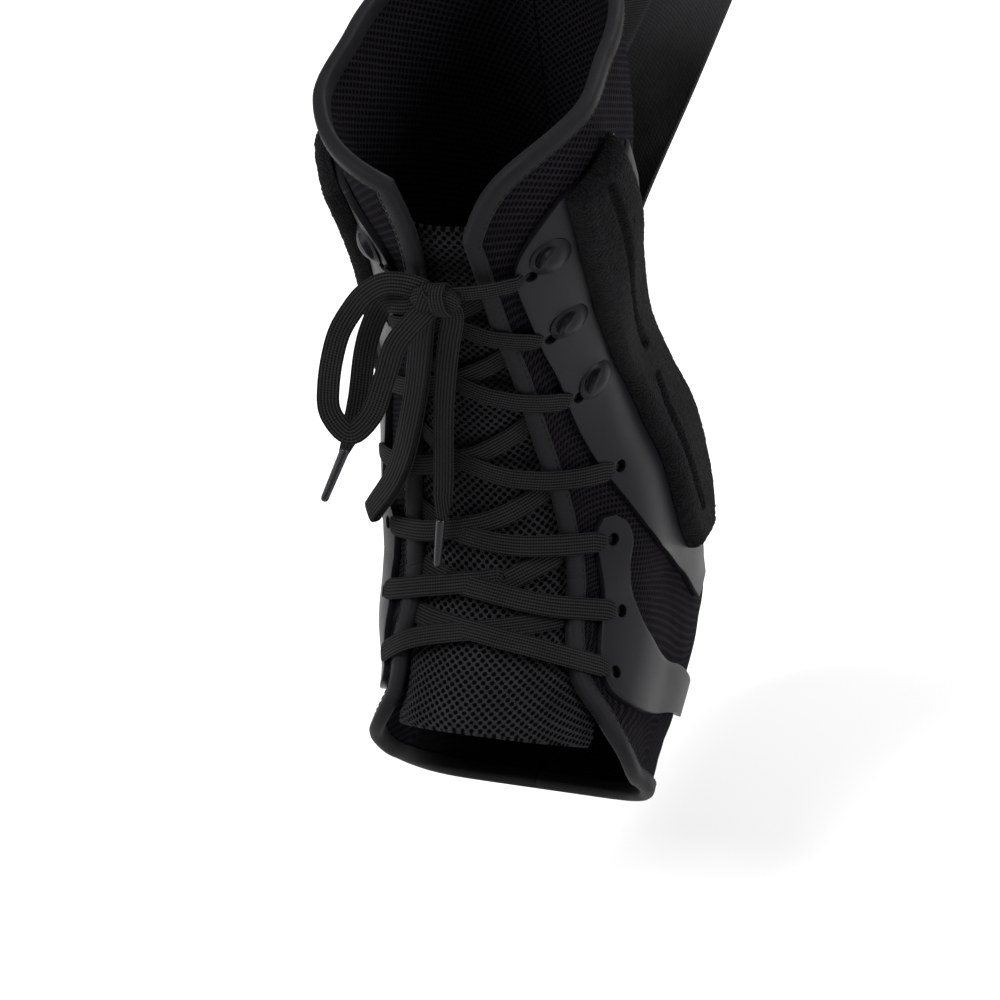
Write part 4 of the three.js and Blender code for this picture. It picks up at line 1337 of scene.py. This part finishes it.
def front_points(rows, count, rise=0.0):
    places = rows.read(np.linspace(0, len(rows.at) - 1, count))
    points = on_limb(places["station"], places["angle"], places["height"] + rise)
    return points, skin_normal(places["station"], places["angle"])


TIP_RADII = (1.45, 1.15)


def tip_piece(name, start, end, replaced):
    """The hard tip of a lace: a slim tapering tube with a rounded end."""
    start, end = np.array(start, float), np.array(end, float)
    share = np.concatenate([[0, 0.01], np.linspace(0.05, 0.93, 14), [0.97, 0.99, 1.0]])
    radius = lerp(*TIP_RADII, share)
    radius[0] *= 0.8
    radius[-3:] *= (0.88, 0.6, 0.25)
    points = lerp(start, end, share[:, None])
    along = unit(end - start)
    across = unit(np.cross(along, (0.3, 0.9, 0.2)))
    out = np.cross(along, across)
    turn = np.linspace(0, 2 * math.pi, 18, endpoint=False)[None, :, None]
    rings = points[:, None] + (across * np.cos(turn) + out * np.sin(turn)) * radius[:, None, None]
    return add_piece(swept_mesh(name, rings), "lace tip", replaced)


def narrowing(count, last_width):
    widths = np.full(count, float(LACE_WIDTH))
    near = max(count // 6, 3)
    widths[-near:] = np.linspace(LACE_WIDTH, last_width, near)
    return widths


# The bands that wrap the knot: tilt in degrees, shift along it, and radii up it and out of it
KNOT_BANDS = (
    (10, 2.0, 4.7, 3.7),
    (-22, -2.4, 4.4, 3.3),
    (52, 0.4, 5.4, 3.0),
    (-58, -0.5, 5.2, 2.9),
)
KNOT_BAND_WIDTH = 5.0
KNOT_CORE = {"length": 15, "up": 4.5, "out": 3.6, "folds": 0.09}


def knot_core():
    """The folds inside the knot, drawn together into one lump."""
    share = np.linspace(0, 1, 24)[:, None]
    turn = np.linspace(0, 2 * math.pi, 28, endpoint=False)
    radius = np.sqrt(np.maximum(1 - (2 * share - 1) ** 2, 0.01))
    radius = radius * (1 + KNOT_CORE["folds"] * np.cos(turn * 5 + share * 4))
    along = (share - 0.5) * KNOT_CORE["length"] + np.zeros_like(radius)
    up = radius * np.cos(turn) * KNOT_CORE["up"]
    out = radius * np.sin(turn) * KNOT_CORE["out"]
    return swept_mesh("core", np.stack([along, up, out], -1))


def knot_mesh():
    """The knot: bands of lace wound round a core."""
    turn = np.linspace(0, 2 * math.pi, 60)
    circle = np.stack([np.zeros_like(turn), np.cos(turn), np.sin(turn)], -1)
    bands = []
    for tilt, shift, up, out in KNOT_BANDS:
        rotate = np.array(Matrix.Rotation(math.radians(tilt), 3, "Z")).T
        points = (circle * (1, up, out)) @ rotate + (shift, 0, 0)
        rings = lace_rings(points, circle @ rotate, KNOT_BAND_WIDTH, LACE_THICK)
        bands.append(swept_mesh("band", rings))
    mesh = join_meshes("bow_knot", [*bands, knot_core()])
    mesh.transform(Matrix.Scale(1 / MM, 4))
    mesh.transform(limb_frame(*KNOT_PLACE, FLAP_LIFT + SHELL_WALL + KNOT_RISE))
    return mesh


def top_strand_mesh(name, side):
    """A strand from the highest hole to the knot."""
    hole = LACE_HOLES[0]
    share = np.linspace(0, 1, TOP_STRAND_POINTS)
    start = side_angle(side, hole.station, hole.angle)
    station = lerp(hole.station, KNOT_PLACE[0], share)
    angle = lerp(start, KNOT_PLACE[1] + side * 5, share)
    far, dip = from_hole(station, angle)
    height = lerp(ON_PLATE, ON_BINDING + 3.2, share) - dip * DIP_FALL
    width = lerp(3.0, 5.6, smoothstep(far, 0.5, 6))
    points = on_limb(station, angle, height)
    thick = LACE_THICK + dip * DIP_SWELL
    return swept_mesh(name, lace_rings(points, skin_normal(station, angle), width, thick))


def add_bow():
    """The bow: its knot, its two loops, its two ends and their tips."""
    for name, side in SIDES:
        add_piece(top_strand_mesh(f"top_lace_{name}", side), "woven lace", f"lace_top_{name}")
    add_piece(knot_mesh(), "woven lace", "lace_knot")

    points = smooth_route(LOOP_ROUTE, 110)
    faces = np.broadcast_to(BOW_FACE, points.shape)
    cord_piece("bow_loop", points, faces, "lace_loop")

    tip = tip_piece("lace_tip_side", *SIDE_TIP, "aglet_side")
    points = smooth_route(SIDE_END_ROUTE, 70)
    faces = np.broadcast_to(BOW_FACE, points.shape)
    cord_piece("bow_end_side", points, faces, "lace_end_side", narrowing(70, 2.6))

    ends = [on_limb(*place) for place in FRONT_TIP]
    tip = tip_piece("lace_tip_front", *ends, "aglet_front")
    points, faces = front_points(FRONT_END, 90)
    cord_piece("bow_end_front", points, faces, "lace_end_front", narrowing(90, 2.8))

    down, down_faces = front_points(FOLDED_LOOP, 80)
    up, up_faces = front_points(FOLDED_LOOP, 80, FOLDED_RISE)
    along = unit(down[-1] - down[-2])
    turn = np.linspace(0, math.pi, 10)[1:-1, None]
    middle = (down[-1] + up[-1]) / 2
    half = (down[-1] - up[-1]) / 2
    bend = middle + half * np.cos(turn) + along * np.sin(turn) * FOLDED_RISE / 2
    bend_faces = unit(-half) * np.cos(turn) - along * np.sin(turn)
    points = np.concatenate([down, bend, up[::-1]])
    faces = np.concatenate([down_faces, bend_faces, -up_faces[::-1]])
    cord_piece("bow_loop_folded", points, faces, "lace_loop_folded")


# Angles in degrees, lengths in metres. Aside and below are how far the middle of the view lies
# from the ankle joint.
CAMERA = {"azimuth": 23, "elevation": 32, "roll": -6, "distance": 1.2, "aside": -0.0209,
          "below": -0.0092, "lens": 140.4, "sensor": 36}


def add_camera():
    turn, rise, roll = (math.radians(CAMERA[key]) for key in ("azimuth", "elevation", "roll"))
    back = Vector((math.sin(turn) * math.cos(rise), -math.cos(turn) * math.cos(rise), math.sin(rise)))
    right = Vector((math.cos(turn), math.sin(turn), 0))
    up = back.cross(right)
    right, up = (right * math.cos(roll) + up * math.sin(roll),
                 up * math.cos(roll) - right * math.sin(roll))
    lens = bpy.data.cameras.new("photo camera")
    lens.sensor_width = CAMERA["sensor"]
    lens.lens = CAMERA["lens"]
    camera = link("photo camera", lens)
    place = right * CAMERA["aside"] + up * CAMERA["below"] + back * CAMERA["distance"]
    turned = Matrix((right, up, back)).transposed().to_4x4()
    camera.matrix_world = Matrix.Translation(place) @ turned
    bpy.context.scene.camera = camera


# Each light's place in metres, its size in metres and its power in watts
LIGHTS = [
    ("key", (-0.9, -1.1, 1.7), 1.0, 46),
    ("side", (1.8, -0.3, 0.9), 0.8, 26),
    ("back", (0.6, 1.6, 1.3), 1.0, 30),
    ("low", (-1.4, -0.4, 0.25), 0.8, 5),
]
SKY_STRENGTH = 0.4
FLOOR_DROP = 0.05
FLOOR_SIZE = 6


def add_lights():
    for name, place, size, power in LIGHTS:
        lamp = bpy.data.lights.new(name, "AREA")
        lamp.size = size
        lamp.energy = power
        aim = Vector(place).to_track_quat("Z", "Y").to_matrix().to_4x4()
        link(name, lamp).matrix_world = Matrix.Translation(place) @ aim
    world = bpy.data.worlds.new("studio")
    bpy.context.scene.world = world
    world.use_nodes = True
    sky = next(node for node in world.node_tree.nodes if node.type == "BACKGROUND")
    sky.inputs["Color"].default_value = (1, 1, 1, 1)
    sky.inputs["Strength"].default_value = SKY_STRENGTH


def add_floor():
    build = bmesh.new()
    low = Matrix.Translation((0, 0, cad_bounds[0][2] - FLOOR_DROP))
    bmesh.ops.create_grid(build, x_segments=4, y_segments=4, size=FLOOR_SIZE, matrix=low)
    build.loops.layers.uv.new(UV_NAME)
    mesh = built(build, "floor")
    mesh.materials.append(finish_of("pale floor"))
    link("floor", mesh)


def add_stage():
    """The floor, the lights and the camera."""
    add_floor()
    add_lights()
    add_camera()
    bpy.context.scene.view_settings.view_transform = "Standard"


class Adds:
    """What the operators share: each one runs the function that builds its pieces."""

    def execute(self, context):
        self.build()
        return {"FINISHED"}


class BRACE_OT_stage(Adds, bpy.types.Operator):
    """Add the floor, the lights and the camera"""
    bl_idname = "brace.stage"
    bl_label = "Stage"
    build = staticmethod(add_stage)


class BRACE_OT_bow(Adds, bpy.types.Operator):
    """Add the knot, the loops, the free lace ends and their tips"""
    bl_idname = "brace.bow"
    bl_label = "Bow"
    build = staticmethod(add_bow)


class BRACE_OT_boot(Adds, bpy.types.Operator):
    """Add the mesh boot"""
    bl_idname = "brace.boot"
    bl_label = "Boot"
    build = staticmethod(add_shell)


class BRACE_OT_tongue(Adds, bpy.types.Operator):
    """Add the padded tongue"""
    bl_idname = "brace.tongue"
    bl_label = "Tongue"
    build = staticmethod(add_tongue)


class BRACE_OT_bindings(Adds, bpy.types.Operator):
    """Add the tape round the boot's edge and its stitches"""
    bl_idname = "brace.bindings"
    bl_label = "Bindings"
    build = staticmethod(add_bindings)


class BRACE_OT_plates(Adds, bpy.types.Operator):
    """Add the moulded plates"""
    bl_idname = "brace.plates"
    bl_label = "Plates"
    build = staticmethod(add_plates)


class BRACE_OT_hooks(Adds, bpy.types.Operator):
    """Add the lace hooks"""
    bl_idname = "brace.hooks"
    bl_label = "Hooks"
    build = staticmethod(add_hooks)


class BRACE_OT_stay_covers(Adds, bpy.types.Operator):
    """Add the pile covers and the tape along their rear edges"""
    bl_idname = "brace.stay_covers"
    bl_label = "Stay covers"
    build = staticmethod(add_stay_covers)


class BRACE_OT_straps(Adds, bpy.types.Operator):
    """Add the webbing straps"""
    bl_idname = "brace.straps"
    bl_label = "Straps"
    build = staticmethod(add_straps)


class BRACE_OT_crossings(Adds, bpy.types.Operator):
    """Add the crossed laces over the tongue"""
    bl_idname = "brace.crossings"
    bl_label = "Crossed laces"
    build = staticmethod(add_crossings)


OPERATORS = (
    BRACE_OT_stage,
    BRACE_OT_bow,
    BRACE_OT_boot,
    BRACE_OT_tongue,
    BRACE_OT_bindings,
    BRACE_OT_plates,
    BRACE_OT_hooks,
    BRACE_OT_stay_covers,
    BRACE_OT_straps,
    BRACE_OT_crossings,
)


class BRACE_PT_panel(bpy.types.Panel):
    """Lists the brace's looks and the pieces that can be added"""
    bl_idname = "BRACE_PT_panel"
    bl_label = "Ankle brace"
    bl_space_type = "VIEW_3D"
    bl_region_type = "UI"
    bl_category = "Ankle brace"

    def draw(self, context):
        looks = context.scene.brace_looks
        for name in BraceLooks.__annotations__:
            self.layout.prop(looks, name)
        for operator in OPERATORS:
            self.layout.operator(operator.bl_idname)


def register():
    for item in (BraceLooks, *OPERATORS, BRACE_PT_panel):
        bpy.utils.register_class(item)
    bpy.types.Scene.brace_looks = bpy.props.PointerProperty(type=BraceLooks)


def unregister():
    del bpy.types.Scene.brace_looks
    for item in reversed((BraceLooks, *OPERATORS, BRACE_PT_panel)):
        bpy.utils.unregister_class(item)


def main():
    register()
    for operator in OPERATORS:
        group, name = operator.bl_idname.split(".")
        getattr(getattr(bpy.ops, group), name)()


if __name__ == "__main__":
    main()
